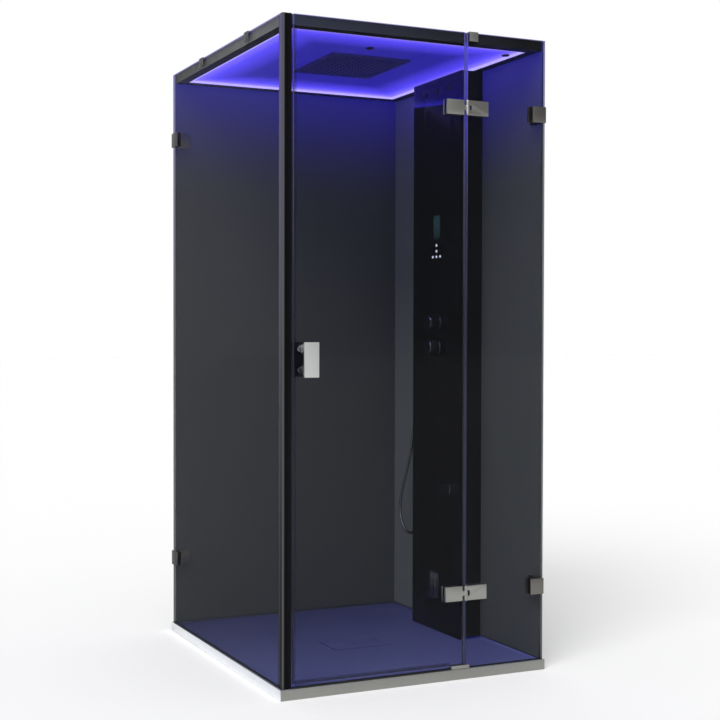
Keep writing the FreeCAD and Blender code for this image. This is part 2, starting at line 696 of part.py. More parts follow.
def wall_clamps():
    """Four square clamps that hold the panes to the walls; returns their gaskets and bolts."""
    outer_plates, angles, gaskets, bolts = [], [], [], []
    half = S.clamp_side / 2
    bolt_length = S.glass_thickness + 2 * S.gasket_thickness + S.clamp_thickness
    edge = pane_out - S.clamp_side
    leaf_edge = wall_in - S.clamp_side
    hole_radius = S.bolt_radius + S.bolt_play
    for index, level in enumerate(clamp_levels):
        low, high = level - half, level + half
        front_low = plate_front - S.clamp_thickness
        leaf_high = plate_back + S.clamp_thickness
        wall_leg = wall_in - S.clamp_thickness
        leg_end = plate_back + S.clamp_side
        outer_plates.append(box(f"clamp_front_{index}", (edge, front_low, low),
                                (pane_out, plate_front, high)))
        outer_plates.append(box(f"clamp_side_{index}", (front_low, edge, low),
                                (plate_front, pane_out, high)))
        front_angle = fuse(f"angle_front_{index}", [
            box(f"angle_front_leaf_{index}", (leaf_edge, plate_back, low), (wall_in, leaf_high, high)),
            box(f"angle_front_leg_{index}", (wall_leg, plate_back, low), (wall_in, leg_end, high))])
        side_angle = fuse(f"angle_side_{index}", [
            box(f"angle_side_leaf_{index}", (plate_back, leaf_edge, low), (leaf_high, wall_in, high)),
            box(f"angle_side_leg_{index}", (plate_back, wall_leg, low), (leg_end, wall_in, high))])
        front_hole = rod(f"angle_front_hole_{index}", (clamp_middle, plate_back - 1, level), hole_radius,
                         S.clamp_thickness + 2, "back")
        side_hole = rod(f"angle_side_hole_{index}", (plate_back - 1, clamp_middle, level), hole_radius,
                        S.clamp_thickness + 2, "right")
        angles.append(cut(f"angle_front_drilled_{index}", front_angle, [front_hole]))
        angles.append(cut(f"angle_side_drilled_{index}", side_angle, [side_hole]))
        centres = [(clamp_middle, level)]
        gaskets += gasket_pair(f"clamp_gasket_front_{index}", (edge, wall_in), (low, high), centres)
        gaskets += gasket_pair(f"clamp_gasket_side_{index}", (edge, wall_in), (low, high), centres, True)
        bolts.append(rod(f"clamp_bolt_front_{index}", (clamp_middle, plate_front, level), S.bolt_radius,
                         bolt_length, "back"))
        bolts.append(rod(f"clamp_bolt_side_{index}", (plate_front, clamp_middle, level), S.bolt_radius,
                         bolt_length, "right"))
    node(group("outer_plates", outer_plates), "clamp_outer_plates")
    node(group("angles", angles), "clamp_inner_angles")
    return gaskets, bolts


def roof_clips():
    """Three small hooks over the panes' top edges."""
    half = S.clip_width / 2
    out = -pane_out
    face = out - S.clip_thickness
    low = top_z + S.clip_thickness - S.clip_height
    high = top_z + S.clip_thickness
    reach = face + S.clip_reach
    front_x = S.front_clip_x
    clips = [fuse("clip_front", [
        box("clip_front_face", (front_x - half, face, low), (front_x + half, out, high)),
        box("clip_front_top", (front_x - half, face, top_z), (front_x + half, reach, high))])]
    for tag, y in (("near", S.side_clip_near_y), ("far", S.side_clip_far_y)):
        clips.append(fuse("clip_" + tag, [
            box(f"clip_{tag}_face", (face, y - half, low), (out, y + half, high)),
            box(f"clip_{tag}_top", (face, y - half, top_z), (reach, y + half, high))]))
    node(group("clips", clips), "roof_clips")


def handle():
    """Back-to-back plate pulls on round stand-offs."""
    half_width = S.handle_width / 2
    half_height = S.handle_height / 2
    outer_face = -pane_out - S.handle_standoff
    inner_face = -pane_in + S.handle_standoff
    plate = [(-half_width, -half_height), (half_width, -half_height), (half_width, half_height),
             (-half_width, half_height)]
    plates = [extruded(name, plate, S.handle_thickness, (handle_x, back, S.handle_z), "front")
              for name, back in (("pull_outer", outer_face), ("pull_inner", inner_face + S.handle_thickness))]
    node(group("pull_plates", plates), "handle_plates")
    spacers, bolts = [], []
    for side in (-1, 1):
        level = S.handle_z + side * S.standoff_spread / 2
        for tag, low in (("outer", outer_face), ("inner", -pane_in)):
            spacers.append(rod(f"standoff_{tag}_{side + 1}", (handle_x, low, level), S.standoff_radius,
                               S.handle_standoff, "back"))
        bolts.append(rod(f"handle_bolt_{side + 1}", (handle_x, -pane_out, level), S.bolt_radius,
                         S.glass_thickness, "back"))
    node(group("standoffs", spacers), "handle_standoffs")
    return bolts


def roof():
    """Rails, ceiling with its light strips, rain head, small fittings and the cover on top."""
    low, high = rail_low, top_z
    front = fuse("rail_front_notched", [
        box("rail_front", (post_right, -rail_out, low), (wall_in, -rail_in, high)),
        box("rail_front_end", (-rail_out, post_back, low), (post_right, -rail_in, high))])
    back = box("rail_back", (-rail_out, wall_rail_in, low), (wall_in, wall_in, high))
    left = box("rail_left", (-rail_out, -rail_in, low), (-rail_in, wall_rail_in, high))
    right = box("rail_right", (wall_rail_in, -rail_in, low), (wall_in, wall_rail_in, high))
    node(group("rails", [front, back, left, right]), "roof_rails")
    span = (-rail_in, -rail_in, wall_rail_in, wall_rail_in)
    panel = box("ceiling_sheet", (span[0], span[1], ceiling_z),
                (span[2], span[3], ceiling_z + S.ceiling_thickness))
    through = S.ceiling_thickness + 2
    holes = [rod("neck_hole", (0, S.head_y, ceiling_z - 1), S.neck_radius + S.fitting_play, through),
             rod("riser_hole", (pipe_x, S.column_y, ceiling_z - 1), S.pipe_radius + S.fitting_play,
                 through)]
    spots = ((S.left_fitting_x, S.left_fitting_y),
             (wall_rail_in - S.right_fitting_inset, -rail_in + S.right_fitting_depth))
    fittings = []
    for index, (x, y) in enumerate(spots):
        holes.append(rod(f"fitting_hole_{index}", (x, y, ceiling_z - 1),
                         S.fitting_stem_radius + S.fitting_play, through))
        fittings.append(fuse(f"fitting_{index}", [
            rod(f"fitting_disc_{index}", (x, y, ceiling_z - S.fitting_height), S.fitting_radius,
                S.fitting_height),
            rod(f"fitting_stem_{index}", (x, y, ceiling_z), S.fitting_stem_radius,
                S.ceiling_thickness + S.fitting_height)]))
    node(cut("ceiling_drilled", panel, holes), "ceiling_panel")
    node(group("fittings", fittings), "ceiling_fittings")
    strip_low = ceiling_z - S.light_strip_height
    wide = S.light_strip_width
    strips = [
        box("strip_lit_front", (span[0], span[1], strip_low), (span[2], span[1] + wide, ceiling_z)),
        box("strip_lit_back", (span[0], span[3] - wide, strip_low), (span[2], span[3], ceiling_z)),
        box("strip_lit_left", (span[0], span[1] + wide, strip_low),
            (span[0] + wide, span[3] - wide, ceiling_z)),
        box("strip_lit_right", (span[2] - wide, span[1] + wide, strip_low),
            (span[2], span[3] - wide, ceiling_z)),
    ]
    node(group("lit_strips", strips), "light_strips")
    cover_low = top_z - S.roof_cover_drop - S.roof_cover_thickness
    cover = box("cover_sheet", (span[0], span[1], cover_low), (span[2], span[3], top_z - S.roof_cover_drop))
    node(cover, "roof_cover")
    half = S.head_side / 2
    head_low = ceiling_z - S.head_thickness
    square = [(-half, -half), (half, -half), (half, half), (-half, half)]
    node(extruded("head_plate", square, S.head_thickness, (0, S.head_y, head_low)), "rain_head")
    rise = S.ceiling_thickness + S.roof_cover_thickness
    bore = S.pipe_radius - S.pipe_wall
    points = [(bore, 0), (S.neck_radius, 0), (S.neck_radius, rise), (S.pipe_radius, rise),
              (S.pipe_radius, rise + S.roof_cover_thickness), (bore, rise + S.roof_cover_thickness)]
    node(turned("neck_turned", points, (0, S.head_y, ceiling_z)), "rain_head_neck")


def column():
    """Glossy black face on a folded shell, with the display, touch marks, nozzles and control box."""
    height = rail_low - ledge_z
    half = S.column_width / 2
    hole = S.stem_radius + S.face_hole_play
    holes = [(0, S.thermostat_z - ledge_z, hole), (0, S.diverter_z - ledge_z, hole)]
    for step in (-1, 0, 1):
        holes.append((step * S.nozzle_pitch, nozzle_z - ledge_z, hole))
    holes.append((0, S.steam_outlet_z - ledge_z, hole))
    half_display = S.display_width / 2 + S.display_play
    half_tall = S.display_height / 2 + S.display_play
    display_middle = S.display_z - ledge_z
    window = (-half_display, display_middle - half_tall, half_display, display_middle + half_tall)
    sheet_outline = [(-half, 0), (half, 0), (half, height), (-half, height)]
    face = extruded("face_sheet", sheet_outline, S.column_face_thickness, (face_x, S.column_y, ledge_z),
                    "side", holes=holes, windows=[window])
    node(face, "column_face")
    wall = S.shell_wall
    near_cheek = box("shell_near", (face_back, column_near, sill), (wall_in, column_near + wall, rail_low))
    far_blank = box("shell_far", (face_back, column_far - wall, sill), (wall_in, column_far, rail_low))
    hose_hole = rod("shell_hose", (pipe_x, column_far - wall - 1, S.hose_outlet_z),
                    S.pipe_radius + S.inlet_play, wall + 2, "back")
    back_blank = box("shell_back", (wall_in - wall, column_near + wall, sill),
                     (wall_in, column_far - wall, rail_low))
    back_holes = [rod(f"shell_inlet_{side + 1}",
                      (wall_in - wall - 1, S.column_y, inlet_middle_z + side * S.inlet_spread / 2),
                      S.inlet_radius + S.inlet_play, wall + 2, "right") for side in (-1, 1)]
    back_holes.append(rod("shell_gland", (wall_in - wall - 1, S.column_y, S.gland_z),
                          S.gland_radius + S.inlet_play, wall + 2, "right"))
    node(group("shell_sheets", [near_cheek, cut("shell_far_drilled", far_blank, [hose_hole]),
                                cut("shell_back_drilled", back_blank, back_holes)]), "column_shell")
    half_display = S.display_width / 2
    half_tall = S.display_height / 2
    display = box("display_glass", (face_x, S.column_y - half_display, S.display_z - half_tall),
                  (face_back, S.column_y + half_display, S.display_z + half_tall))
    node(display, "display_module")
    marks = [(0, S.power_key_z), (0, S.mode_key_z), (-1, S.key_row_z), (0, S.key_row_z), (1, S.key_row_z)]
    keys = [rod(f"key_{index}", (face_x, S.column_y + step * S.key_pitch, level), S.key_radius,
                S.key_thickness, "left") for index, (step, level) in enumerate(marks)]
    node(group("keys", keys), "touch_keys")
    half_box = S.control_box_width / 2
    box_low = S.key_row_z - S.control_box_width / 2
    box_high = box_low + S.control_box_height
    blank = box("control_blank", (face_back, S.column_y - half_box, box_low),
                (face_back + S.control_box_depth, S.column_y + half_box, box_high))
    passage = rod("riser_passage", (pipe_x, S.column_y, box_low - 1), S.pipe_radius * 2,
                  S.control_box_height + 2)
    back = face_back + S.control_box_depth
    passage_slot = box("riser_slot", (pipe_x, S.column_y - S.pipe_radius * 2, box_low - 1),
                       (back + 1, S.column_y + S.pipe_radius * 2, box_high + 1))
    node(cut("control_slotted", blank, [passage, passage_slot]), "control_box")


def nozzles():
    """Three small round nozzles near the column's top, each with its stem through the face."""
    reach = S.column_face_thickness + S.pipe_stand_back - S.pipe_radius
    radius = S.nozzle_radius
    bore = S.stem_radius - S.pipe_wall * 2
    points = [(bore, -reach), (S.stem_radius, -reach), (S.stem_radius, 0), (radius, 0),
              (radius, S.nozzle_height * 0.6), (radius * 0.8, S.nozzle_height), (bore, S.nozzle_height)]
    pieces = [turned(f"nozzle_{step + 1}", points,
                     (face_x, S.column_y + step * S.nozzle_pitch, nozzle_z), "left")
              for step in (-1, 0, 1)]
    node(group("nozzle_row", pieces), "upper_nozzles")


def fluted_knob(name, level):
    """A turned knob with a stem into the valve and flutes round its grip."""
    body = new_body(name + "_knob")
    profile = sketch_on(body, name + "_profile", "XZ_Plane")
    base = S.collar_thickness + S.knuckle_gap
    tip = base + S.knob_length
    chamfer = S.knob_length / 12
    stem_end = -S.stem_length
    outline(profile, [(0, stem_end), (S.stem_radius, stem_end), (S.stem_radius, base), (S.knob_radius, base),
                      (S.knob_radius, tip - chamfer), (S.knob_radius - chamfer, tip), (0, tip)])
    turn = body.newObject("PartDesign::Revolution", name + "_turn")
    turn.Profile = profile
    turn.ReferenceAxis = (profile, ["V_Axis"])
    turn.Angle = 360
    flute = sketch_on(body, name + "_flute", lift=tip + 1)
    ring(flute, S.knob_radius + S.flute_radius / 2, 0, S.flute_radius)
    groove = pocket(body, flute, S.knob_length * 0.8, name + "_flute_cut")
    document.recompute()
    pattern = body.newObject("PartDesign::PolarPattern", name + "_flutes")
    pattern.Originals = [groove]
    pattern.Axis = (datum(body, "Z_Axis"), [""])
    pattern.Angle = 360
    bind(pattern, "Occurrences", S.flute_count)
    body.Tip = pattern
    place(body, (face_x, S.column_y, level), "left")
    node(body, name)


def valve_and_knobs():
    """Thermostatic mixing valve behind the face, its knobs and collars, and its inlet nipples."""
    half = S.valve_width / 2
    block = box("valve_block", (valve_front, S.column_y - half, valve_low),
                (valve_back, S.column_y + half, valve_top))
    stem_hole = S.stem_radius + S.stem_play
    hole_depth = S.stem_length - S.column_face_thickness - S.valve_stand_back + 1
    holes = [rod(f"stem_hole_{index}", (valve_front - 1, S.column_y, level), stem_hole,
                 hole_depth + 1, "right")
             for index, level in enumerate((S.diverter_z, S.thermostat_z))]
    node(cut("valve_drilled", block, holes), "mixer_valve")
    collar_bore = S.stem_radius + S.face_hole_play
    edge = S.collar_thickness / 3
    points = [(collar_bore, 0), (S.collar_radius, 0), (S.collar_radius, S.collar_thickness - edge),
              (S.collar_radius - edge, S.collar_thickness), (collar_bore, S.collar_thickness)]
    collars = [turned(f"collar_{index}", points, (face_x, S.column_y, level), "left")
               for index, level in enumerate((S.diverter_z, S.thermostat_z))]
    node(group("collars", collars), "knob_collars")
    fluted_knob("thermostat_knob", S.thermostat_z)
    fluted_knob("diverter_knob", S.diverter_z)
    reach = pane_out + S.inlet_reach - valve_back
    bore = S.inlet_radius - S.inlet_wall
    barrel = S.inlet_radius - S.inlet_play * 2
    thread_start = reach - S.inlet_thread_length
    points = [(bore, 0), (barrel, 0), (barrel, thread_start), (S.inlet_radius, thread_start),
              (S.inlet_radius, reach), (bore, reach)]
    nipples = [turned(f"nipple_{side + 1}", points,
                      (valve_back, S.column_y, inlet_middle_z + side * S.inlet_spread / 2), "right")
               for side in (-1, 1)]
    node(group("nipples", nipples), "inlet_nipples")


def water_pipes():
    """Riser to the rain head, nozzle rail and hose pipe, as bent tubes."""
    radius = S.pipe_radius.number
    wall = S.pipe_wall.number
    bend = S.pipe_bend.number
    void_z = ceiling_z + S.ceiling_thickness + S.roof_cover_thickness + S.pipe_radius
    riser_points = [(pipe_x, S.column_y, valve_top), (pipe_x, S.column_y, void_z),
                    (S.pipe_radius * 2, S.head_y, void_z)]
    riser = pipe(riser_points, radius, wall, S.roof_bend.number)
    drop_points = [(pipe_x, S.column_y, valve_low), (pipe_x, S.column_y, S.hose_outlet_z),
                   (pipe_x, column_far, S.hose_outlet_z)]
    drop = pipe(drop_points, radius, wall, bend)
    water = document.addObject("Part::Feature", "pipes")
    water.Shape = Part.Compound([riser, drop])
    water.Placement = Placement()
    node(water, "water_pipes")


def steam():
    """Steam generator in the column's foot, the ribbed outlet, its aroma cup and the mains gland."""
    half = S.boiler_width / 2
    boiler_back = wall_in - S.shell_wall
    node(box("boiler", (boiler_back - S.boiler_depth, S.column_y - half, S.boiler_z),
             (boiler_back, S.column_y + half, S.boiler_z + S.boiler_height)), "steam_generator")
    low = S.steam_outlet_z - S.steam_outlet_height / 2
    height = S.steam_outlet_height
    radius = S.steam_outlet_radius
    outer = rod("outlet_round", (face_x, S.column_y, low), radius, height)
    keep = box("outlet_keep", (face_x - radius - 1, S.column_y - radius - 1, low - 1),
               (face_x, S.column_y + radius + 1, low + height + 1))
    shell = document.addObject("Part::Common", "outlet_half")
    shell.Base = outer
    shell.Tool = keep
    wall = S.steam_wall
    top_plate = S.cup_depth + wall
    tools = [rod("outlet_hollow", (face_x, S.column_y, low + wall), radius - wall, height - wall - top_plate)]
    slot_low = S.steam_outlet_z - S.steam_slot_height / 2 - wall
    middle = (S.steam_slot_count.number - 1) / 2
    for index in range(int(S.steam_slot_count.number)):
        slot = box(f"outlet_slot_{index}", (-radius * 1.2, -S.steam_slot_width / 2, 0),
                   (-radius * 0.6, S.steam_slot_width / 2, S.steam_slot_height))
        angle = (index - middle) * S.steam_slot_angle.number
        holder = document.addObject("Part::Compound", f"outlet_slot_turned_{index}")
        holder.Links = [slot]
        place(holder, (face_x, S.column_y, slot_low))
        holder.Placement.Rotation = Rotation(Vector(0, 0, 1), angle)
        tools.append(holder)
    cup_x = face_x - radius / 2
    cup_hole = S.cup_radius + S.cup_play
    tools.append(rod("cup_seat", (cup_x, S.column_y, low + height - S.cup_depth), cup_hole, S.cup_depth + 1))
    node(cut("outlet_slotted", shell, tools), "steam_outlet")
    cup_top = S.cup_depth + S.cup_lip
    inner = S.cup_radius - S.cup_wall
    points = [(0, 0), (S.cup_radius, 0), (S.cup_radius, S.cup_depth), (S.cup_radius + S.cup_lip, S.cup_depth),
              (S.cup_radius + S.cup_lip, cup_top), (inner, cup_top), (inner, S.cup_wall), (0, S.cup_wall)]
    node(turned("cup_turned", points, (cup_x, S.column_y, low + height - S.cup_depth)), "aroma_cup")
    points = [(S.gland_bore_radius, 0), (S.gland_radius, 0), (S.gland_radius, S.gland_length),
              (S.gland_bore_radius, S.gland_length)]
    gland_start = pane_out + S.inlet_reach - S.gland_length
    node(turned("gland_turned", points, (gland_start, S.column_y, S.gland_z), "right"), "power_gland")
    pipe_end = S.boiler_z
    radius = S.stem_radius
    steam_x = boiler_back - S.boiler_depth / 2
    path = [(steam_x, S.column_y, pipe_end), (steam_x, S.column_y, S.steam_outlet_z),
            (face_x, S.column_y, S.steam_outlet_z)]
    steam_pipe = document.addObject("Part::Feature", "steam_tube")
    steam_pipe.Shape = pipe(path, radius.number, S.pipe_wall.number, S.pipe_bend.number)
    steam_pipe.Placement = Placement()
    node(steam_pipe, "steam_pipe")


def soap_tray():
    """Small open tray on the column's face."""
    half = S.soap_width / 2
    outer = box("soap_outer", (face_x - S.soap_depth, S.soap_y - half, S.soap_z),
                (face_x, S.soap_y + half, S.soap_z + S.soap_height))
    wall = S.soap_wall
    inner = box("soap_inner", (face_x - S.soap_depth + wall, S.soap_y - half + wall, S.soap_z + wall),
                (face_x - wall, S.soap_y + half - wall, S.soap_z + S.soap_height + 1))
    node(cut("soap_hollow", outer, [inner]), "soap_tray")


def hose_route():
    """The hose's points, moved so that it starts at the hand shower's foot."""
    start_x, start_y, _ = HOSE_ROUTE[0]
    shift_x = handset_x.number - start_x
    shift_y = handset_y.number - start_y
    route = [Vector(x + shift_x, y + shift_y, z) for x, y, z in HOSE_ROUTE]
    route[0].z = handset_foot_z.number
    return route


def hand_shower():
    """Stick hand shower in a ring holder behind the column, with its outlet elbow."""
    x, y, level = handset_x, handset_y, S.holder_z
    ring_half = S.holder_ring_height / 2
    seat_low = S.handset_neck_radius + S.handset_play * 2
    seat_high = S.handset_radius - S.handset_play
    plate = rod("holder_plate", (x, column_far, level), S.holder_ring_radius, S.shell_wall * 2, "back")
    arm = rod("holder_arm", (x, column_far, level), S.holder_arm_radius,
              S.handset_stand_off - seat_high, "back")
    cup = rod("holder_cup", (x, y, level - ring_half), S.holder_ring_radius, S.holder_ring_height)
    seat = document.addObject("Part::Cone", "holder_seat")
    bind(seat, "Radius1", seat_low)
    bind(seat, "Radius2", seat_high)
    bind(seat, "Height", S.holder_ring_height)
    place(seat, (x, y, level - ring_half))
    slot = box("holder_slot", (x - S.holder_slot / 2, y, level - ring_half - 1),
               (x + S.holder_slot / 2, y + S.holder_ring_radius + 1, level + ring_half + 1))
    node(cut("holder_slotted", fuse("holder_union", [plate, arm, cup]), [seat, slot]), "hand_shower_holder")
    neck_top = ring_half * 2
    play = S.handset_play
    low = -S.nut_length
    flare = S.handset_radius
    points = [(0, low), (S.handset_neck_radius, low), (S.handset_neck_radius, 0),
              (seat_low - play, 0), (seat_high - play, neck_top), (flare, neck_top + play * 4),
              (flare, S.handset_length), (flare - S.pipe_wall * 2, S.handset_length + 2),
              (0, S.handset_length + 2)]
    node(turned("handset_turned", points, (x, y, level - ring_half)), "hand_shower")
    end_x, end_y, end_z = hose_route()[-1]
    elbow_flange = rod("elbow_flange", (end_x, column_far, S.hose_outlet_z), S.outlet_radius * 1.5,
                       S.shell_wall * 2, "back")
    elbow_arm = rod("elbow_arm", (end_x, column_far, S.hose_outlet_z), S.outlet_radius,
                    end_y - column_far, "back")
    elbow_ball = document.addObject("Part::Sphere", "elbow_ball")
    bind(elbow_ball, "Radius", S.outlet_radius)
    place(elbow_ball, (end_x, end_y, S.hose_outlet_z))
    elbow_drop = rod("elbow_drop", (end_x, end_y, end_z), S.outlet_radius, S.hose_outlet_z - end_z)
    node(fuse("elbow", [elbow_flange, elbow_arm, elbow_ball, elbow_drop]), "hose_outlet")


def hose():
    """The hanging hose, with arcs as large as its runs allow."""
    points = hose_route()
    radii = []
    for before, corner, after in zip(points, points[1:], points[2:]):
        turn = (corner - before).getAngle(after - corner)
        radii.append(BEND_SHARE * min(corner.distanceToPoint(before), corner.distanceToPoint(after))
                     / math.tan(turn / 2))
    path = bent_path(points, radii)
    radius = S.hose_radius.number
    tube = sweep_round(path, radius)
    ratio = tube.Volume / (math.pi * radius ** 2 * path.Length)
    print("hose bend radii", [round(value) for value in radii])
    print("hose length", round(path.Length), "volume to section times length", round(ratio, 4))
    piece = document.addObject("Part::Feature", "hose_tube")
    piece.Shape = tube
    piece.Placement = Placement()
    node(piece, "shower_hose")


def build():
    """Model every piece, in the order a fitter would put the cabin up."""
    tray()
    aprons()
    waste()
    walls()
    panes()
    corner_post()
    door_seals()
    pane_foot()
    door_glass()
    gaskets, bolts = hinges()
    clamp_gaskets, clamp_bolts = wall_clamps()
    node(group("fixed_gaskets", gaskets[1] + clamp_gaskets), "pane_gaskets")
    node(group("door_side_gaskets", gaskets[-1]), "door_gaskets")
    node(group("fixed_bolts", bolts[1] + clamp_bolts), "pane_bolts")
    node(group("door_side_bolts", bolts[-1] + handle()), "door_bolts")
    roof_clips()
    roof()
    column()
    nozzles()
    valve_and_knobs()
    water_pipes()
    steam()
    soap_tray()
    hand_shower()
    hose()


def check_and_write():
    """Every object must be sound before any file is written."""
    document.recompute()
    for item in document.Objects:
        if {"Invalid", "Error"} & set(item.State):
            raise RuntimeError(f"{item.Name} did not build: {item.State}")
    os.makedirs("parts", exist_ok=True)
    for name, piece in NODES.items():
        shape = piece.Shape
        if shape.isNull() or not shape.isValid() or not shape.Solids:
            raise RuntimeError(f"{name} has no sound shape")
    for name, piece in NODES.items():
        piece.Shape.exportStep(f"parts/{name}.step")
        print(f"{name:22s} {len(piece.Shape.Solids):3d} solids {piece.Shape.Volume / 1000:10.1f} cm3")
    print(len(NODES), "nodes")


build()
check_and_write()
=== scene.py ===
"""Looks of a square corner steam shower cabin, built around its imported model.

Everything is in metres, in the model's frame: X runs along the front to the right,
Y runs into the cabin from the door, and Z is up from the tray's underside.
"""
import logging
import math
from dataclasses import dataclass
from enum import Enum
from typing import Callable, Iterable, Sequence, Union

import bmesh
import bpy
from mathutils import Matrix, Vector


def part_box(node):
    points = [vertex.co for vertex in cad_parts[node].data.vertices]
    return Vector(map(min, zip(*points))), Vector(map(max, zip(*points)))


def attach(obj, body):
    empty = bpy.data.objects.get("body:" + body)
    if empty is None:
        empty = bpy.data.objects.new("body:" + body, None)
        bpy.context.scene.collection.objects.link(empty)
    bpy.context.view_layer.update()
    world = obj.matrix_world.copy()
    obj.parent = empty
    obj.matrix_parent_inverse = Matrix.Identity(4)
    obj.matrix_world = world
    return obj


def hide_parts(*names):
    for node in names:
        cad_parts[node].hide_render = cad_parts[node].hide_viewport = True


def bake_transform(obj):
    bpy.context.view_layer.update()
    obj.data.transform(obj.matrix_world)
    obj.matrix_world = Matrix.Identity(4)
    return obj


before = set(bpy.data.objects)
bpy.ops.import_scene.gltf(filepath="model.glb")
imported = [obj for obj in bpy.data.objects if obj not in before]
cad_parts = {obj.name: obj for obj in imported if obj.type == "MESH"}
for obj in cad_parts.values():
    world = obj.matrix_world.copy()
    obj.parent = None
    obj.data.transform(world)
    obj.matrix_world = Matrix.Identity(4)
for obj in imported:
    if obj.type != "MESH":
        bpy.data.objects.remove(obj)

log = logging.getLogger("steam_cabin")

Point = tuple[float, float, float]
Colour = tuple[float, float, float]
Number = Union[float, int, "Wire"]

BLACK: Colour = (0.0, 0.0, 0.0)


class Axis(Enum):
    """A direction of the model's frame, as the index of its coordinate."""

    X = 0
    Y = 1
    Z = 2


class Body(Enum):
    """The moving bodies of the cabin."""

    CABIN = "cabin"
    DOOR = "door"
    THERMOSTAT = "thermostat"
    DIVERTER = "diverter"
    WASTE_LID = "waste_lid"
    HANDSET = "handset"
    AROMA = "aroma"


class Wire:
    """A number that flows through a node tree, used in plain expressions."""

    def __init__(self, nodes: "Nodes", socket: bpy.types.NodeSocket) -> None:
        """Wrap one output socket."""
        self.nodes = nodes
        self.socket = socket

    def _join(self, operation: str, first: Number, second: Number) -> "Wire":
        """Add the Math node of one operator."""
        node = self.nodes.add("ShaderNodeMath", {"operation": operation}, {0: first, 1: second})
        return Wire(self.nodes, node.outputs[0])

    def __add__(self, other: Number) -> "Wire":
        """Sum."""
        return self._join("ADD", self, other)

    def __sub__(self, other: Number) -> "Wire":
        """Difference."""
        return self._join("SUBTRACT", self, other)

    def __rsub__(self, other: Number) -> "Wire":
        """Difference, reflected."""
        return self._join("SUBTRACT", other, self)

    def __mul__(self, other: Number) -> "Wire":
        """Product."""
        return self._join("MULTIPLY", self, other)

    def __truediv__(self, other: Number) -> "Wire":
        """Quotient."""
        return self._join("DIVIDE", self, other)

    def __gt__(self, other: Number) -> "Wire":
        """One where this is the larger, else zero."""
        return self._join("GREATER_THAN", self, other)

    def __lt__(self, other: Number) -> "Wire":
        """One where this is the smaller, else zero."""
        return self._join("LESS_THAN", self, other)

    def least(self, other: Number) -> "Wire":
        """The smaller of the two."""
        return self._join("MINIMUM", self, other)

    def most(self, other: Number) -> "Wire":
        """The larger of the two."""
        return self._join("MAXIMUM", self, other)

    def size(self) -> "Wire":
        """The number without its sign."""
        return self._join("ABSOLUTE", self, 0.0)


class Nodes:
    """A node tree, and the maker of its nodes."""

    def __init__(self, owner: bpy.types.Material | bpy.types.World) -> None:
        """Start an empty tree on a material or a world."""
        owner.use_nodes = True
        self.tree = owner.node_tree
        self.tree.nodes.clear()

    def add(self, kind: str, settings: dict | None = None, inputs: dict | None = None) -> bpy.types.Node:
        """Add one node.

        Args:
            kind: the node's type.
            settings: properties to set first; "stops" fills a ramp.
            inputs: values or links, by socket name or number.

        Returns:
            The new node.
        """
        node = self.tree.nodes.new(kind)
        for key, value in (settings or {}).items():
            if key == "stops":
                self._fill_ramp(node.color_ramp, value)
            else:
                setattr(node, key, value)
        for key, value in (inputs or {}).items():
            if isinstance(value, Wire):
                self.tree.links.new(value.socket, node.inputs[key])
            elif isinstance(value, bpy.types.NodeSocket):
                self.tree.links.new(value, node.inputs[key])
            else:
                node.inputs[key].default_value = value
        return node

    @staticmethod
    def _fill_ramp(ramp: bpy.types.ColorRamp, stops: Sequence[tuple[float, Colour]]) -> None:
        """Set a ramp's stops, in order from its start."""
        for index, (place, colour) in enumerate(stops):
            stop = ramp.elements[index] if index < 2 else ramp.elements.new(place)
            stop.position = place
            stop.color = (*colour, 1.0)


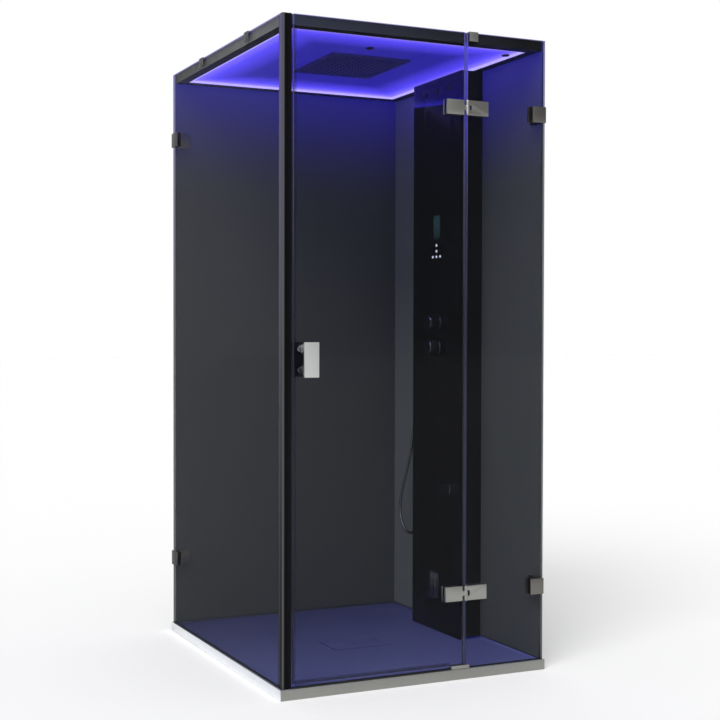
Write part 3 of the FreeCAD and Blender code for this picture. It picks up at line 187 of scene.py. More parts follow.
class Shader(Nodes):
    """One material's node tree."""

    def __init__(self, name: str) -> None:
        """Start an empty material.

        Args:
            name: the material's name.
        """
        self.material = bpy.data.materials.new(name)
        super().__init__(self.material)

    def along(self, axis: Axis) -> Wire:
        """One coordinate in the piece's own space, which is the model's frame at rest."""
        place = self.add("ShaderNodeTexCoord")
        parts = self.add("ShaderNodeSeparateXYZ", None, {0: place.outputs["Object"]})
        return Wire(self, parts.outputs[axis.value])

    def facing(self, axis: Axis) -> Wire:
        """One part of the surface's own normal, in the piece's space."""
        place = self.add("ShaderNodeTexCoord")
        parts = self.add("ShaderNodeSeparateXYZ", None, {0: place.outputs["Normal"]})
        return Wire(self, parts.outputs[axis.value])

    def noise(self, scale: Point, detail: float = 3.0) -> Wire:
        """Cloud noise from 0 to 1, stretched by a scale for each axis in cycles per metre."""
        place = self.add("ShaderNodeTexCoord")
        spread = self.add("ShaderNodeVectorMath", {"operation": "MULTIPLY"},
                          {0: place.outputs["Object"], 1: scale})
        cloud = self.add("ShaderNodeTexNoise", None,
                         {"Vector": spread.outputs[0], "Scale": 1.0, "Detail": detail})
        return Wire(self, cloud.outputs["Fac"])

    def ramp(self, factor: Number, stops: Sequence[tuple[float, Colour]]) -> bpy.types.NodeSocket:
        """A colour that changes with a number."""
        return self.add("ShaderNodeValToRGB", {"stops": stops}, {0: factor}).outputs[0]

    def mixed(self, factor: Number, first: object, second: object) -> bpy.types.NodeSocket:
        """A colour between two others."""
        ends = [(*value, 1.0) if isinstance(value, tuple) else value for value in (first, second)]
        node = self.add("ShaderNodeMix", {"data_type": "RGBA"}, {0: factor, 6: ends[0], 7: ends[1]})
        return node.outputs[2]

    def bump(self, height: Number, depth: float, strength: float = 1.0) -> bpy.types.NodeSocket:
        """A normal from a height field.

        Args:
            height: the field, from 0 to 1.
            depth: what a full step of it stands for, in metres.
            strength: how much of it shows.

        Returns:
            The socket for the shader's normal.
        """
        node = self.add("ShaderNodeBump", None, {"Strength": strength, "Distance": depth, "Height": height})
        return node.outputs[0]

    def surface(self, sockets: dict) -> bpy.types.Material:
        """Close the material with one surface shader.

        Args:
            sockets: values or links for the surface shader; a colour of
                emission has a strength of one if none is given.

        Returns:
            The finished material.
        """
        ready = {key: (*value, 1.0) if isinstance(value, tuple) and len(value) == 3 else value
                 for key, value in sockets.items()}
        if "Emission Color" in ready:
            ready.setdefault("Emission Strength", 1.0)
        shader = self.add("ShaderNodeBsdfPrincipled", None, ready)
        self.add("ShaderNodeOutputMaterial", None, {"Surface": shader.outputs[0]})
        return self.material


def scaled(colour: Colour, level: float) -> Colour:
    """A lighter or darker tone of a colour."""
    return tuple(part * level for part in colour)


class Finish:
    """A surface finish, made once and shared by the pieces that have it."""

    slot: str
    _made: dict[str, bpy.types.Material] = {}

    def material(self) -> bpy.types.Material:
        """The finish's material, made at its first use."""
        key = repr(self)
        if key not in Finish._made:
            Finish._made[key] = self.build()
        return Finish._made[key]

    def build(self) -> bpy.types.Material:
        """Make the material; each finish has its own way."""
        raise NotImplementedError


@dataclass(frozen=True)
class BrushedMetal(Finish):
    """Satin metal with long fine brush marks along one axis."""

    slot: str
    colour: Colour
    roughness: float = 0.3
    grain: Axis = Axis.X
    tone: float = 0.14
    metallic: float = 1.0
    # glow is emission; where it is set, it paints light onto the metal
    glow: Colour = BLACK
    depth: float = 0.00002

    def build(self) -> bpy.types.Material:
        """Brush marks vary the colour, the roughness and a shallow bump."""
        shader = Shader(f"{self.slot}_brushed_{self.grain.name.lower()}_{int(self.colour[0] * 100)}")
        scale = tuple(9.0 if axis is self.grain else 1700.0 for axis in Axis)
        marks = shader.noise(scale, 4.0)
        clouds = shader.noise((7.0, 7.0, 7.0), 2.0)
        darker = scaled(self.colour, 1 - self.tone)
        lighter = tuple(min(1.0, part * (1 + self.tone)) for part in self.colour)
        return shader.surface({
            "Base Color": shader.mixed(marks * 0.7 + clouds * 0.3, darker, lighter),
            "Metallic": self.metallic,
            "Roughness": marks * 0.14 + clouds * 0.06 + (self.roughness - 0.1),
            "Emission Color": self.glow,
            "Normal": shader.bump(marks, self.depth, 0.6),
        })


@dataclass(frozen=True)
class PolishedMetal(Finish):
    """Bright plated metal with a trace of handling marks."""

    slot: str
    colour: Colour
    roughness: float = 0.07

    def build(self) -> bpy.types.Material:
        """Faint clouds in roughness keep the polish from looking perfect."""
        shader = Shader(f"{self.slot}_polished_{int(self.colour[0] * 100)}")
        clouds = shader.noise((28.0, 28.0, 28.0), 4.0)
        smears = shader.noise((160.0, 160.0, 160.0), 2.0)
        darker = scaled(self.colour, 0.92)
        return shader.surface({
            "Base Color": shader.mixed(clouds, self.colour, darker),
            "Metallic": 1.0,
            "Roughness": clouds * 0.07 + (self.roughness - 0.02),
            "Normal": shader.bump(smears, 0.00001, 0.25),
        })


@dataclass(frozen=True)
class SatinBlack(Finish):
    """Dark anodised or powder coated aluminium with a fine bloom."""

    slot: str
    colour: Colour
    roughness: float = 0.34
    specular: float = 0.5

    def build(self) -> bpy.types.Material:
        """Pin-head texture under a soft sheen."""
        shader = Shader(f"{self.slot}_satin")
        grains = shader.noise((2600.0, 2600.0, 2600.0), 2.0)
        clouds = shader.noise((5.0, 5.0, 5.0), 2.0)
        lighter = scaled(self.colour, 1.35)
        return shader.surface({
            "Base Color": shader.mixed(clouds, self.colour, lighter),
            "Roughness": grains * 0.12 + (self.roughness - 0.06),
            "Specular IOR Level": self.specular,
            "Normal": shader.bump(grains, 0.00002, 0.5),
        })


@dataclass(frozen=True)
class PostWithPaintedLight(Finish):
    """Black corner post with a pale painted highlight along the front face's left edge, and painted light on
    the left face that grows paler and more violet towards its top.
    """

    slot: str
    left: float = -0.494
    width: float = 0.033
    height: float = 2.15

    def build(self) -> bpy.types.Material:
        """Painted highlight bands across the front face, and painted light fading down the left one."""
        shader = Shader(f"{self.slot}_post")
        grains = shader.noise((2600.0, 2600.0, 40.0), 2.0)
        # painted highlight: a pale band at the front face's left edge, black beyond it
        painted_edge_highlight = shader.ramp((shader.along(Axis.X) - self.left) / self.width, (
            (0.15, (0.10, 0.10, 0.11)), (0.3, (0.003, 0.003, 0.003)), (1.0, (0.008, 0.008, 0.010))))
        # painted light on the left face: black low down, pale violet at the top
        fade = shader.ramp(shader.along(Axis.Z) / self.height, (
            (0.15, BLACK), (0.6, (0.06, 0.06, 0.08)), (0.95, (0.07, 0.06, 0.16))))
        leftward = shader.facing(Axis.X) < -0.5
        return shader.surface({
            "Base Color": shader.mixed(leftward, painted_edge_highlight, fade),
            "Roughness": grains * 0.1 + 0.22,
            "Specular IOR Level": 0.05,
            "Normal": shader.bump(grains, 0.00001, 0.4),
        })


@dataclass(frozen=True)
class RailWithPaintedLight(Finish):
    """Black roof rail with a painted reflection that pales its left face, and painted blue light at the front
    face's left end.
    """

    slot: str
    front_left_painted_light: Colour = (0.085, 0.10, 0.165)
    left_side_painted_light: Colour = (0.24, 0.24, 0.255)

    def build(self) -> bpy.types.Material:
        """Painted light on the front face fades out to the right, and the painted reflection on the left face
        fades towards the back; hidden faces stay black.
        """
        shader = Shader(f"{self.slot}_rail")
        grains = shader.noise((2600.0, 2600.0, 2600.0), 2.0)
        # painted light: pale blue at the front face's left end, black towards the right
        front = shader.ramp(shader.along(Axis.X) + 0.5, (
            (0.0, self.front_left_painted_light), (0.9, (0.010, 0.010, 0.011))))
        # painted reflection: pale on the left face near the front, dark towards the back
        side = shader.ramp(shader.along(Axis.Y) + 0.5, (
            (0.3, self.left_side_painted_light), (1.0, (0.05, 0.05, 0.05))))
        black = (0.010, 0.010, 0.011)
        forward = shader.facing(Axis.Y) < -0.5
        leftward = shader.facing(Axis.X) < -0.5
        high = shader.along(Axis.Z) > 2.0
        painted_rail_light = shader.mixed(high, black, shader.mixed(forward, shader.mixed(leftward, black, side), front))
        return shader.surface({
            "Base Color": shader.mixed(grains * 0.15, painted_rail_light, BLACK),
            "Roughness": grains * 0.12 + 0.3,
            "Specular IOR Level": 0.3,
            "Normal": shader.bump(grains, 0.00002, 0.5),
        })


@dataclass(frozen=True)
class WallWithPaintedLight(Finish):
    """Charcoal wall panel with painted light and shade along its room side's run, and the ceiling's blue
    light painted on as emission at its top.
    """

    slot: str
    colour: Colour
    room_axis: Axis
    # painted light and shade: the tone's levels at the two ends of the room side's run
    ends: tuple[float, float]
    turn: tuple[float, float] = (0.0, 1.0)
    top: float = 2.12
    painted_glow_depth: float = 0.45
    painted_glow_lean: float = 0.0

    def build(self) -> bpy.types.Material:
        """Fine satin texture; on the room side, painted light and shade along the run, and the ceiling's
        light painted as emission fading down from the top.
        """
        shader = Shader(f"{self.slot}_{self.room_axis.name.lower()}")
        grains = shader.noise((1500.0, 1500.0, 1500.0), 3.0)
        run = Axis.Y if self.room_axis is Axis.X else Axis.X
        across = shader.along(run) + 0.5
        # painted light and shade along the room side, between the two ends' levels
        near, far = (scaled(self.colour, level) for level in self.ends)
        shade = shader.ramp(across, ((self.turn[0], near), (self.turn[1], far)))
        room_side = shader.facing(self.room_axis) < -0.5
        shade = shader.mixed(room_side, self.colour, shade)
        # the ceiling's blue light, painted as emission that fades down from the top
        sunk = shader.along(Axis.Y).most(0.0) * self.painted_glow_lean
        height = ((shader.along(Axis.Z) - sunk - (self.top - self.painted_glow_depth)) / self.painted_glow_depth).most(0.0)
        glow = shader.mixed((height * height).least(1.0), BLACK, (0.005, 0.0, 0.27))
        return shader.surface({
            "Base Color": shader.mixed(grains * 0.1, shade, BLACK),
            "Roughness": grains * 0.1 + 0.42,
            "Specular IOR Level": 0.1,
            "Emission Color": shader.mixed(room_side, BLACK, glow),
            "Normal": shader.bump(grains, 0.00001, 0.2),
        })


@dataclass(frozen=True)
class GlossPanel(Finish):
    """Black glass front of the column, with a painted reflection of the ceiling's blue light where it meets
    the ceiling.
    """

    slot: str
    colour: Colour
    roughness: float = 0.2
    line: float = 1.997
    slope: float = 0.11
    depth: float = 0.12

    def build(self) -> bpy.types.Material:
        """A deep black body under a clear gloss, with a painted reflection of the ceiling's light, as
        emission, in its top.
        """
        shader = Shader(f"{self.slot}_gloss")
        wave = shader.noise((3.0, 3.0, 1.2), 1.0)
        haze = shader.noise((40.0, 40.0, 18.0), 4.0)
        lighter = scaled(self.colour, 1.5)
        # painted reflection: black below the line, a bright blue line at it, dimmer blue above
        rise = (shader.along(Axis.Z) - self.line - (shader.along(Axis.Y) + 0.138) * self.slope) / self.depth
        glow = shader.ramp(rise, (
            (0.0, BLACK), (0.02, (0.02, 0.015, 0.45)), (0.2, (0.006, 0.004, 0.11)),
            (1.0, (0.004, 0.003, 0.06))))
        return shader.surface({
            "Base Color": shader.mixed(haze, self.colour, lighter),
            "Roughness": haze * 0.04 + self.roughness,
            "Specular IOR Level": 0.16,
            "Emission Color": glow,
            "Normal": shader.bump(wave, 0.0001, 0.06),
        })


@dataclass(frozen=True)
class TintedGlass(Finish):
    """Grey tinted safety glass, seen through."""

    slot: str
    colour: Colour
    cover: float
    specular: float = 0.18

    def build(self) -> bpy.types.Material:
        """A thin dark tint with a trace of haze."""
        shader = Shader(f"{self.slot}_pane_{int(self.specular * 100)}")
        haze = shader.noise((9.0, 9.0, 4.0), 3.0)
        lighter = scaled(self.colour, 1.2)
        return shader.surface({
            "Base Color": shader.mixed(haze, self.colour, lighter),
            "Roughness": haze * 0.01 + 0.01,
            "Specular IOR Level": self.specular,
            "Alpha": haze * 0.01 + self.cover,
        })


@dataclass(frozen=True)
class GlassEdge(Finish):
    """Ground and polished edge of a pane, with the ceiling's light painted on it as emission."""

    slot: str
    colour: Colour
    cover: float = 0.85
    glow: tuple[tuple[float, Colour], ...] = (
        (0.0, (0.004, 0.004, 0.010)), (0.6, (0.06, 0.06, 0.12)), (1.0, (0.08, 0.07, 0.36)))

    def build(self) -> bpy.types.Material:
        """Fine grinding marks, with painted light that grows brighter and more violet towards the top."""
        shader = Shader(f"{self.slot}_edge")
        marks = shader.noise((2200.0, 2200.0, 60.0), 3.0)
        lighter = scaled(self.colour, 1.3)
        # painted light: emission that grows from 1.2 m up to the top
        glow = shader.ramp((shader.along(Axis.Z) - 1.2) / 0.9, self.glow)
        return shader.surface({
            "Base Color": shader.mixed(marks, self.colour, lighter),
            "Roughness": marks * 0.2 + 0.22,
            "Emission Color": glow,
            "Alpha": self.cover,
            "Normal": shader.bump(marks, 0.00002, 0.5),
        })


@dataclass(frozen=True)
class SoftRubber(Finish):
    """Matt extruded seal or gasket."""

    slot: str
    colour: Colour

    def build(self) -> bpy.types.Material:
        """Dull surface with drawn lines from the die."""
        shader = Shader(f"{self.slot}_drawn")
        drawn = shader.noise((700.0, 700.0, 700.0), 2.0)
        dust = shader.noise((30.0, 30.0, 30.0), 4.0)
        lighter = scaled(self.colour, 1.6)
        return shader.surface({
            "Base Color": shader.mixed(dust, self.colour, lighter),
            "Roughness": dust * 0.15 + 0.55,
            "Normal": shader.bump(drawn, 0.00006, 0.4),
        })


@dataclass(frozen=True)
class ClearSeal(Finish):
    """Clear plastic seal, with the ceiling's light painted along its length as emission."""

    slot: str
    colour: Colour
    cover: float = 0.62
    glow: tuple[tuple[float, Colour], ...] = (
        (0.0, (0.012, 0.014, 0.045)), (0.75, (0.006, 0.005, 0.024)), (1.0, (0.05, 0.04, 0.60)))

    def build(self) -> bpy.types.Material:
        """Half clear, with drawn lines, and a painted violet light near the top."""
        shader = Shader(f"{self.slot}_fin_{int(self.cover * 100)}")
        drawn = shader.noise((1200.0, 1200.0, 20.0), 3.0)
        lighter = scaled(self.colour, 1.2)
        return shader.surface({
            "Base Color": shader.mixed(drawn, self.colour, lighter),
            "Roughness": drawn * 0.1 + 0.12,
            "Specular IOR Level": 0.3,
            # painted light: emission up the seal's height, brightest at the top
            "Emission Color": shader.ramp((shader.along(Axis.Z) - 0.1) / 2.02, self.glow),
            "Alpha": drawn * 0.05 + self.cover,
            "Normal": shader.bump(drawn, 0.00003, 0.4),
        })


@dataclass(frozen=True)
class CastMineral(Finish):
    """Cast tray with a fine anti-slip skin, with painted shade that darkens it towards the back and the
    ceiling's blue light painted on its inside, strongest towards the door.
    """

    slot: str
    colour: Colour
    glow: Colour
    half_inside: float = 0.49

    def build(self) -> bpy.types.Material:
        """Speckled and gently rough; painted shade darkens it towards the back, and painted blue light, with
        a painted highlight on the ledge's steep faces, shows only on its inside.
        """
        shader = Shader(f"{self.slot}_cast")
        speckle = shader.noise((420.0, 420.0, 420.0), 4.0)
        cloud = shader.noise((3.5, 3.5, 3.5), 3.0)
        # painted shade: the skin darkens from the door towards the back, along a line that wavers with a
        # cloud
        depth = shader.along(Axis.Y) + 0.5 + (cloud - 0.5) * 0.12
        light = shader.ramp(depth, ((0.0, (1.0, 1.0, 1.0)), (1.0, (0.15, 0.15, 0.15))))
        dark = scaled(self.colour, 0.2)
        tone = shader.mixed(light, dark, self.colour)
        upward = shader.facing(Axis.Z) > 0.8
        # painted blue light on the upward faces, fading with the painted shade
        painted_blue_light = shader.mixed(light, (0.0, 0.0, self.glow[2] * 0.3), self.glow)
        # painted highlight on the steep faces of the ledge
        edge = tuple(part * 1.25 + 0.006 for part in self.glow)
        inside = shader.along(Axis.X).size().most(shader.along(Axis.Y).size()) < self.half_inside
        lit = shader.mixed(upward, shader.mixed(light, BLACK, edge), painted_blue_light)
        return shader.surface({
            "Base Color": shader.mixed(speckle * 0.15, tone, BLACK),
            "Roughness": speckle * 0.2 + 0.32,
            "Specular IOR Level": 0.3,
            "Emission Color": shader.mixed(inside, BLACK, lit),
            "Normal": shader.bump(speckle, 0.00008, 0.4),
        })


@dataclass(frozen=True)
class LitCeiling(Finish):
    """Edge lit ceiling sheet: bright violet at its edges, deep blue in the middle."""

    slot: str
    half_side: float = 0.449
    strength: float = 1.45

    def build(self) -> bpy.types.Material:
        """The light falls off with the distance to the nearest edge."""
        shader = Shader(f"{self.slot}_sheet")
        inset = (self.half_side - shader.along(Axis.X).size()).least(
            self.half_side - shader.along(Axis.Y).size())
        cloud = shader.noise((5.0, 5.0, 5.0), 2.0)
        glow = shader.ramp(inset / 0.45 + cloud * 0.03 - 0.015, (
            (0.0, (0.28, 0.21, 1.0)), (0.15, (0.09, 0.06, 1.0)), (0.4, (0.015, 0.01, 0.33)),
            (1.0, (0.012, 0.006, 0.29))))
        downward = shader.facing(Axis.Z) < -0.5
        return shader.surface({
            "Base Color": shader.mixed(cloud, (0.05, 0.05, 0.09), (0.07, 0.07, 0.12)),
            "Roughness": cloud * 0.1 + 0.3,
            "Emission Color": shader.mixed(downward, BLACK, glow),
            "Emission Strength": self.strength,
        })


@dataclass(frozen=True)
class Glow(Finish):
    """A lit lens or strip."""

    slot: str
    colour: Colour
    strength: float

    def build(self) -> bpy.types.Material:
        """Even light with the faint unevenness of its lamps."""
        shader = Shader(f"{self.slot}_glow_{int(self.strength * 10)}")
        lamps = shader.noise((55.0, 55.0, 55.0), 1.0)
        darker = scaled(self.colour, 0.8)
        return shader.surface({
            "Base Color": (0.3, 0.3, 0.34),
            "Roughness": lamps * 0.1 + 0.3,
            "Emission Color": shader.mixed(lamps, darker, self.colour),
            "Emission Strength": self.strength,
        })


@dataclass(frozen=True)
class DisplayWindow(Finish):
    """Dark teal window with a dim back light, brightest in its upper half."""

    slot: str
    low: float = 1.5125
    high: float = 1.5995

    def build(self) -> bpy.types.Material:
        """A vertical fade of the back light behind smooth glass."""
        shader = Shader(f"{self.slot}_window")
        height = (shader.along(Axis.Z) - self.low) / (self.high - self.low)
        grid = shader.noise((900.0, 900.0, 900.0), 1.0)
        glow = shader.ramp(height, (
            (0.0, (0.004, 0.012, 0.014)), (0.8, (0.013, 0.045, 0.055)), (1.0, (0.008, 0.024, 0.030))))
        return shader.surface({
            "Base Color": (0.01, 0.014, 0.018),
            "Roughness": grid * 0.02 + 0.04,
            "Emission Color": glow,
        })


# One satin steel in several copies. STEEL keeps a tone darker than bare steel, which paints some shade into
# it; the copies below paint light or shade onto the faces that take them.
STEEL = BrushedMetal("satin_steel", (0.40, 0.40, 0.375), 0.32, Axis.X)
# painted highlight: near-white steel with a faint emission, for the apron's side faces
STEEL_ALONG_Y_PAINTED_LIGHT = BrushedMetal("satin_steel", (0.96, 0.98, 1.0), 0.32, Axis.Y, glow=(0.09, 0.10, 0.12))
# painted light: a lighter, part-metal copy for the pull's plates
STEEL_UPRIGHT_PAINTED_LIGHT = BrushedMetal("satin_steel", (0.62, 0.63, 0.62), 0.32, Axis.Z, metallic=0.45)
# painted shade: a darker copy for the wall clamps
STEEL_CLAMP_PAINTED_SHADE = BrushedMetal("satin_steel", (0.22, 0.21, 0.195), 0.34, Axis.Z)
# painted shade: a near-black copy for the left-facing faces of clamps and clips
STEEL_PAINTED_SHADE = BrushedMetal("satin_steel", (0.05, 0.05, 0.052), 0.4, Axis.Z)
PIPE = BrushedMetal("pipe_steel", (0.62, 0.62, 0.62), 0.36, Axis.Z)
# painted light: the rain head's bluish tone and emission stand for the ceiling's blue light
DARK_STEEL_PAINTED_LIGHT = BrushedMetal("dark_steel", (0.045, 0.045, 0.10), 0.4, Axis.X, glow=(0.010, 0.009, 0.09))
CHROME = PolishedMetal("chrome", (0.74, 0.74, 0.76))
# painted shade: a darkened copy of the chrome for the pull's stand-offs and collars
CHROME_PAINTED_SHADE = PolishedMetal("chrome", (0.36, 0.36, 0.40))
# painted shade: chrome darkened to near black, for the column's knobs and collars, nozzles, outlet, cup and
# soap tray and the pull's lower stand-offs
CHROME_DARKENED_PAINTED_SHADE = PolishedMetal("dark_chrome", (0.09, 0.09, 0.12), 0.08)
BRASS = PolishedMetal("brass", (0.70, 0.52, 0.25), 0.2)
HOSE_METAL = PolishedMetal("hose_metal", (0.22, 0.22, 0.24), 0.2)
BLACK_ALUMINIUM = SatinBlack("black_aluminium", (0.012, 0.012, 0.013))
# the post, the rails and the strips carry painted light and a painted reflection in their finishes
POST = PostWithPaintedLight("black_aluminium")
RAIL = RailWithPaintedLight("black_aluminium")
RAIL_STRIP = RailWithPaintedLight("black_rubber")
COLUMN_SIDE = SatinBlack("black_aluminium", (0.004, 0.004, 0.005), 0.3, 0.2)
BLACK_PLASTIC = SatinBlack("black_plastic", (0.015, 0.015, 0.016), 0.45)
# painted shade: the pull's inner plate, behind the glass, shaded near black and not metallic
HANDLE_PAINTED_SHADE = SatinBlack("satin_steel", (0.006, 0.005, 0.014), 0.2, 0.15)
RUBBER = SoftRubber("black_rubber", (0.010, 0.010, 0.011))
FIN = ClearSeal("clear_seal", (0.03, 0.03, 0.04))
LIP = ClearSeal("clear_seal", (0.012, 0.012, 0.016), 0.16,
                ((0.0, (0.002, 0.002, 0.006)), (1.0, (0.003, 0.002, 0.02))))
GLASS = TintedGlass("tinted_glass", (0.012, 0.013, 0.016), 0.20)
SIDE_GLASS = TintedGlass("tinted_glass", (0.012, 0.013, 0.016), 0.20, 0.04)
EDGE = GlassEdge("tinted_glass", (0.035, 0.036, 0.042))
# both walls carry painted light and shade on their room side; the right wall is painted much lighter behind
# the column, the back wall a little lighter to the right
RIGHT_WALL = WallWithPaintedLight(
    "charcoal_panel", (0.087, 0.095, 0.10), Axis.X, (1.2, 2.3), (0.62, 0.78), 2.07, 0.44, 0.35)
BACK_WALL = WallWithPaintedLight("charcoal_panel", (0.087, 0.095, 0.10), Axis.Y, (0.95, 1.1))
COLUMN_FACE = GlossPanel("black_glass", (0.0015, 0.0013, 0.0014))
TRAY_SKIN = CastMineral("tray_grey", (0.20, 0.22, 0.30), (0.006, 0.008, 0.13))
CEILING = LitCeiling("lit_ceiling")
STRIP = Glow("light_strip", (0.40, 0.33, 1.0), 2.0)
KEY_GLOW = Glow("key_light", (0.75, 0.75, 0.95), 1.3)
DISPLAY = DisplayWindow("display")


def finish_mesh(bm: bmesh.types.BMesh, name: str, sharp: float = 35.0) -> bpy.types.Object:
    """Turn a working mesh into an object with smooth faces and sharp folds.

    Args:
        bm: the working mesh, freed here.
        name: the piece's name.
        sharp: the fold, in degrees, above which an edge stays sharp.

    Returns:
        The new object, linked to the scene.
    """
    limit = math.radians(sharp)
    for face in bm.faces:
        face.smooth = True
    for edge in bm.edges:
        if len(edge.link_faces) != 2 or edge.calc_face_angle(0.0) > limit:
            edge.smooth = False
    mesh = bpy.data.meshes.new(name)
    bm.to_mesh(mesh)
    bm.free()
    piece = bpy.data.objects.new(name, mesh)
    bpy.context.scene.collection.objects.link(piece)
    return piece


def dress(piece: bpy.types.Object, finish: Finish, body: Body, nodes: Iterable[str] = ()) -> bpy.types.Object:
    """Give a piece its finish, its body and the nodes it stands for.

    Args:
        piece: the finished mesh.
        finish: its main finish, added as the first material.
        body: the body it moves with.
        nodes: the model's nodes that it stands for.

    Returns:
        The same piece.
    """
    if not piece.data.materials:
        piece.data.materials.append(finish.material())
    nodes = list(nodes)
    if nodes:
        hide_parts(*nodes)
    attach(piece, body.value)
    log.info("%s on %s, %d faces", piece.name, body.value, len(piece.data.polygons))
    return piece


def node_mesh(node: str) -> bmesh.types.BMesh:
    """A working copy of a node's mesh, with split corners joined and flat faces merged."""
    bm = bmesh.new()
    bm.from_mesh(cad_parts[node].data)
    bmesh.ops.remove_doubles(bm, verts=bm.verts, dist=5e-6)
    bmesh.ops.dissolve_limit(bm, angle_limit=math.radians(0.4), verts=bm.verts, edges=bm.edges)
    return bm


def round_edges(bm: bmesh.types.BMesh, width: float, segments: int = 2, above: float = 40.0) -> None:
    """Round every fold sharper than an angle.

    Args:
        bm: the working mesh.
        width: the rounding's width, in metres.
        segments: faces across it.
        above: the least fold, in degrees.
    """
    limit = math.radians(above)
    edges = [edge for edge in bm.edges
             if len(edge.link_faces) == 2 and edge.calc_face_angle(0.0) > limit]
    bmesh.ops.bevel(bm, geom=edges, offset=width, offset_type="OFFSET", segments=segments,
                    profile=0.6, affect="EDGES", clamp_overlap=True, material=-1)


def fine_copy(node: str, finish: Finish, body: Body, width: float = 0.0006,
              segments: int = 2) -> bpy.types.Object:
    """A node's shape with rounded edges and its own finish, in the node's place.

    Args:
        node: the model's node.
        finish: its finish.
        body: the body it moves with.
        width: the width of its rounded edges.
        segments: faces across each.

    Returns:
        The new piece.
    """
    bm = node_mesh(node)
    round_edges(bm, width, segments)
    return dress(finish_mesh(bm, f"fine_{node}"), finish, body, [node])


def shade_faces(piece: bpy.types.Object, finish: Finish,
                chosen: Callable[[bpy.types.MeshPolygon], bool]) -> None:
    """Give some faces of a piece a second finish.

    Args:
        piece: the piece, with its main finish already on it.
        finish: the second finish.
        chosen: says which faces take it.
    """
    piece.data.materials.append(finish.material())
    for face in piece.data.polygons:
        if chosen(face):
            face.material_index = len(piece.data.materials) - 1


def lathe(bm: bmesh.types.BMesh, profile: Sequence[tuple[float, float]], at: Point, axis: Vector,
          sides: int = 24) -> None:
    """Add a turned shape to a working mesh.

    Args:
        bm: the working mesh.
        profile: (radius, distance along the axis) pairs; a zero radius closes an end.
        at: where the axis starts.
        axis: its direction.
        sides: faces round it.
    """
    turn = Vector((0, 0, 1)).rotation_difference(axis.normalized()).to_matrix()
    rings = []
    for radius, height in profile:
        if radius == 0:
            rings.append([bm.verts.new(Vector(at) + turn @ Vector((0, 0, height)))])
            continue
        rings.append([bm.verts.new(Vector(at) + turn @ Vector((
            radius * math.cos(2 * math.pi * k / sides), radius * math.sin(2 * math.pi * k / sides), height)))
            for k in range(sides)])
    for low, high in zip(rings, rings[1:]):
        for k in range(sides):
            j = (k + 1) % sides
            if len(low) == 1:
                bm.faces.new((low[0], high[j], high[k]))
            elif len(high) == 1:
                bm.faces.new((low[k], low[j], high[0]))
            else:
                bm.faces.new((low[k], low[j], high[j], high[k]))


@dataclass
class Camera:
    """The photograph's viewpoint: a level camera a little above the handle's height."""

    place: Point = (-2.110, -3.936, 1.142)
    yaw: float = 22.0
    pitch: float = -1.09
    lens: float = 60.86
    shift: float = 0.2014

    def build(self) -> None:
        """Make the scene's camera."""
        data = bpy.data.cameras.new("view")
        data.lens = self.lens
        data.sensor_width = 36.0
        data.shift_x = self.shift
        data.clip_end = 200.0
        camera = bpy.data.objects.new("view", data)
        camera.location = self.place
        camera.rotation_euler = (math.radians(90 + self.pitch), 0, -math.radians(self.yaw))
        bpy.context.scene.collection.objects.link(camera)
        bpy.context.scene.camera = camera
        log.info("camera at %s", self.place)


@dataclass
class Studio:
    """Pale floor, even sky light and one soft sun."""

    sky: float = 0.6
    sun: float = 1.73
    sun_width: float = 35.0
    sun_way: Point = (-0.75, -0.6, 1.0)
    floor_colour: float = 0.80
    floor_size: float = 60.0
    floor_drop: float = 0.0005
    dark_way: Point = (0.8, -0.6, 0.0)
    dark_level: float = 0.22

    def build(self) -> None:
        """Set the world, the lamps and the floor."""
        self._world()
        self._sun()
        self._floor()
        bpy.context.scene.view_settings.view_transform = "Standard"

    def _world(self) -> None:
        """White to the eye, in metal and in glass; even and softer as light."""
        world = bpy.data.worlds.new("studio")
        bpy.context.scene.world = world
        nodes = Nodes(world)
        path = nodes.add("ShaderNodeLightPath")
        place = nodes.add("ShaderNodeTexCoord")
        side = nodes.add("ShaderNodeVectorMath", {"operation": "DOT_PRODUCT"},
                         {0: place.outputs["Generated"], 1: self.dark_way})
        fade = nodes.add("ShaderNodeMapRange", {"interpolation_type": "SMOOTHSTEP"}, {
            "Value": side.outputs["Value"], "From Min": 0.3, "From Max": 1.0,
            "To Min": 1.0, "To Max": self.dark_level})
        glossy = Wire(nodes, path.outputs["Is Glossy Ray"])
        mirrored = glossy.most(Wire(nodes, path.outputs["Is Transmission Ray"]))
        seen = Wire(nodes, path.outputs["Is Camera Ray"])
        level = mirrored * Wire(nodes, fade.outputs[0]) + (1.0 - mirrored) * self.sky
        back = nodes.add("ShaderNodeBackground", None,
                         {"Color": (1.0, 1.0, 1.0, 1.0), "Strength": seen + (1.0 - seen) * level})
        nodes.add("ShaderNodeOutputWorld", None, {"Surface": back.outputs[0]})

    def _sun(self) -> None:
        """One wide, soft sun from the front left, above."""
        data = bpy.data.lights.new("sun", "SUN")
        data.energy = self.sun
        data.angle = math.radians(self.sun_width)
        lamp = bpy.data.objects.new("sun", data)
        lamp.rotation_euler = Vector(self.sun_way).to_track_quat("Z", "Y").to_euler()
        bpy.context.scene.collection.objects.link(lamp)

    def _floor(self) -> None:
        """A wide pale floor that keeps the cabin's shadow."""
        bm = bmesh.new()
        bmesh.ops.create_grid(bm, x_segments=8, y_segments=8, size=self.floor_size,
                              matrix=Matrix.Translation((0, 0, -self.floor_drop)))
        floor = finish_mesh(bm, "studio_floor")
        shader = Shader("studio_floor")
        cloud = shader.noise((0.4, 0.4, 0.4), 2.0)
        path = shader.add("ShaderNodeLightPath")
        white = Wire(shader, path.outputs["Is Camera Ray"]) * (1.0 - self.floor_colour)
        shade = self.floor_colour
        floor.data.materials.append(shader.surface({
            "Base Color": shader.mixed(cloud, (shade, shade, shade), (shade, shade, shade + 0.002)),
            "Roughness": 0.9,
            "Specular IOR Level": 0.0,
            "Emission Color": (1.0, 1.0, 1.0),
            "Emission Strength": white,
        }))


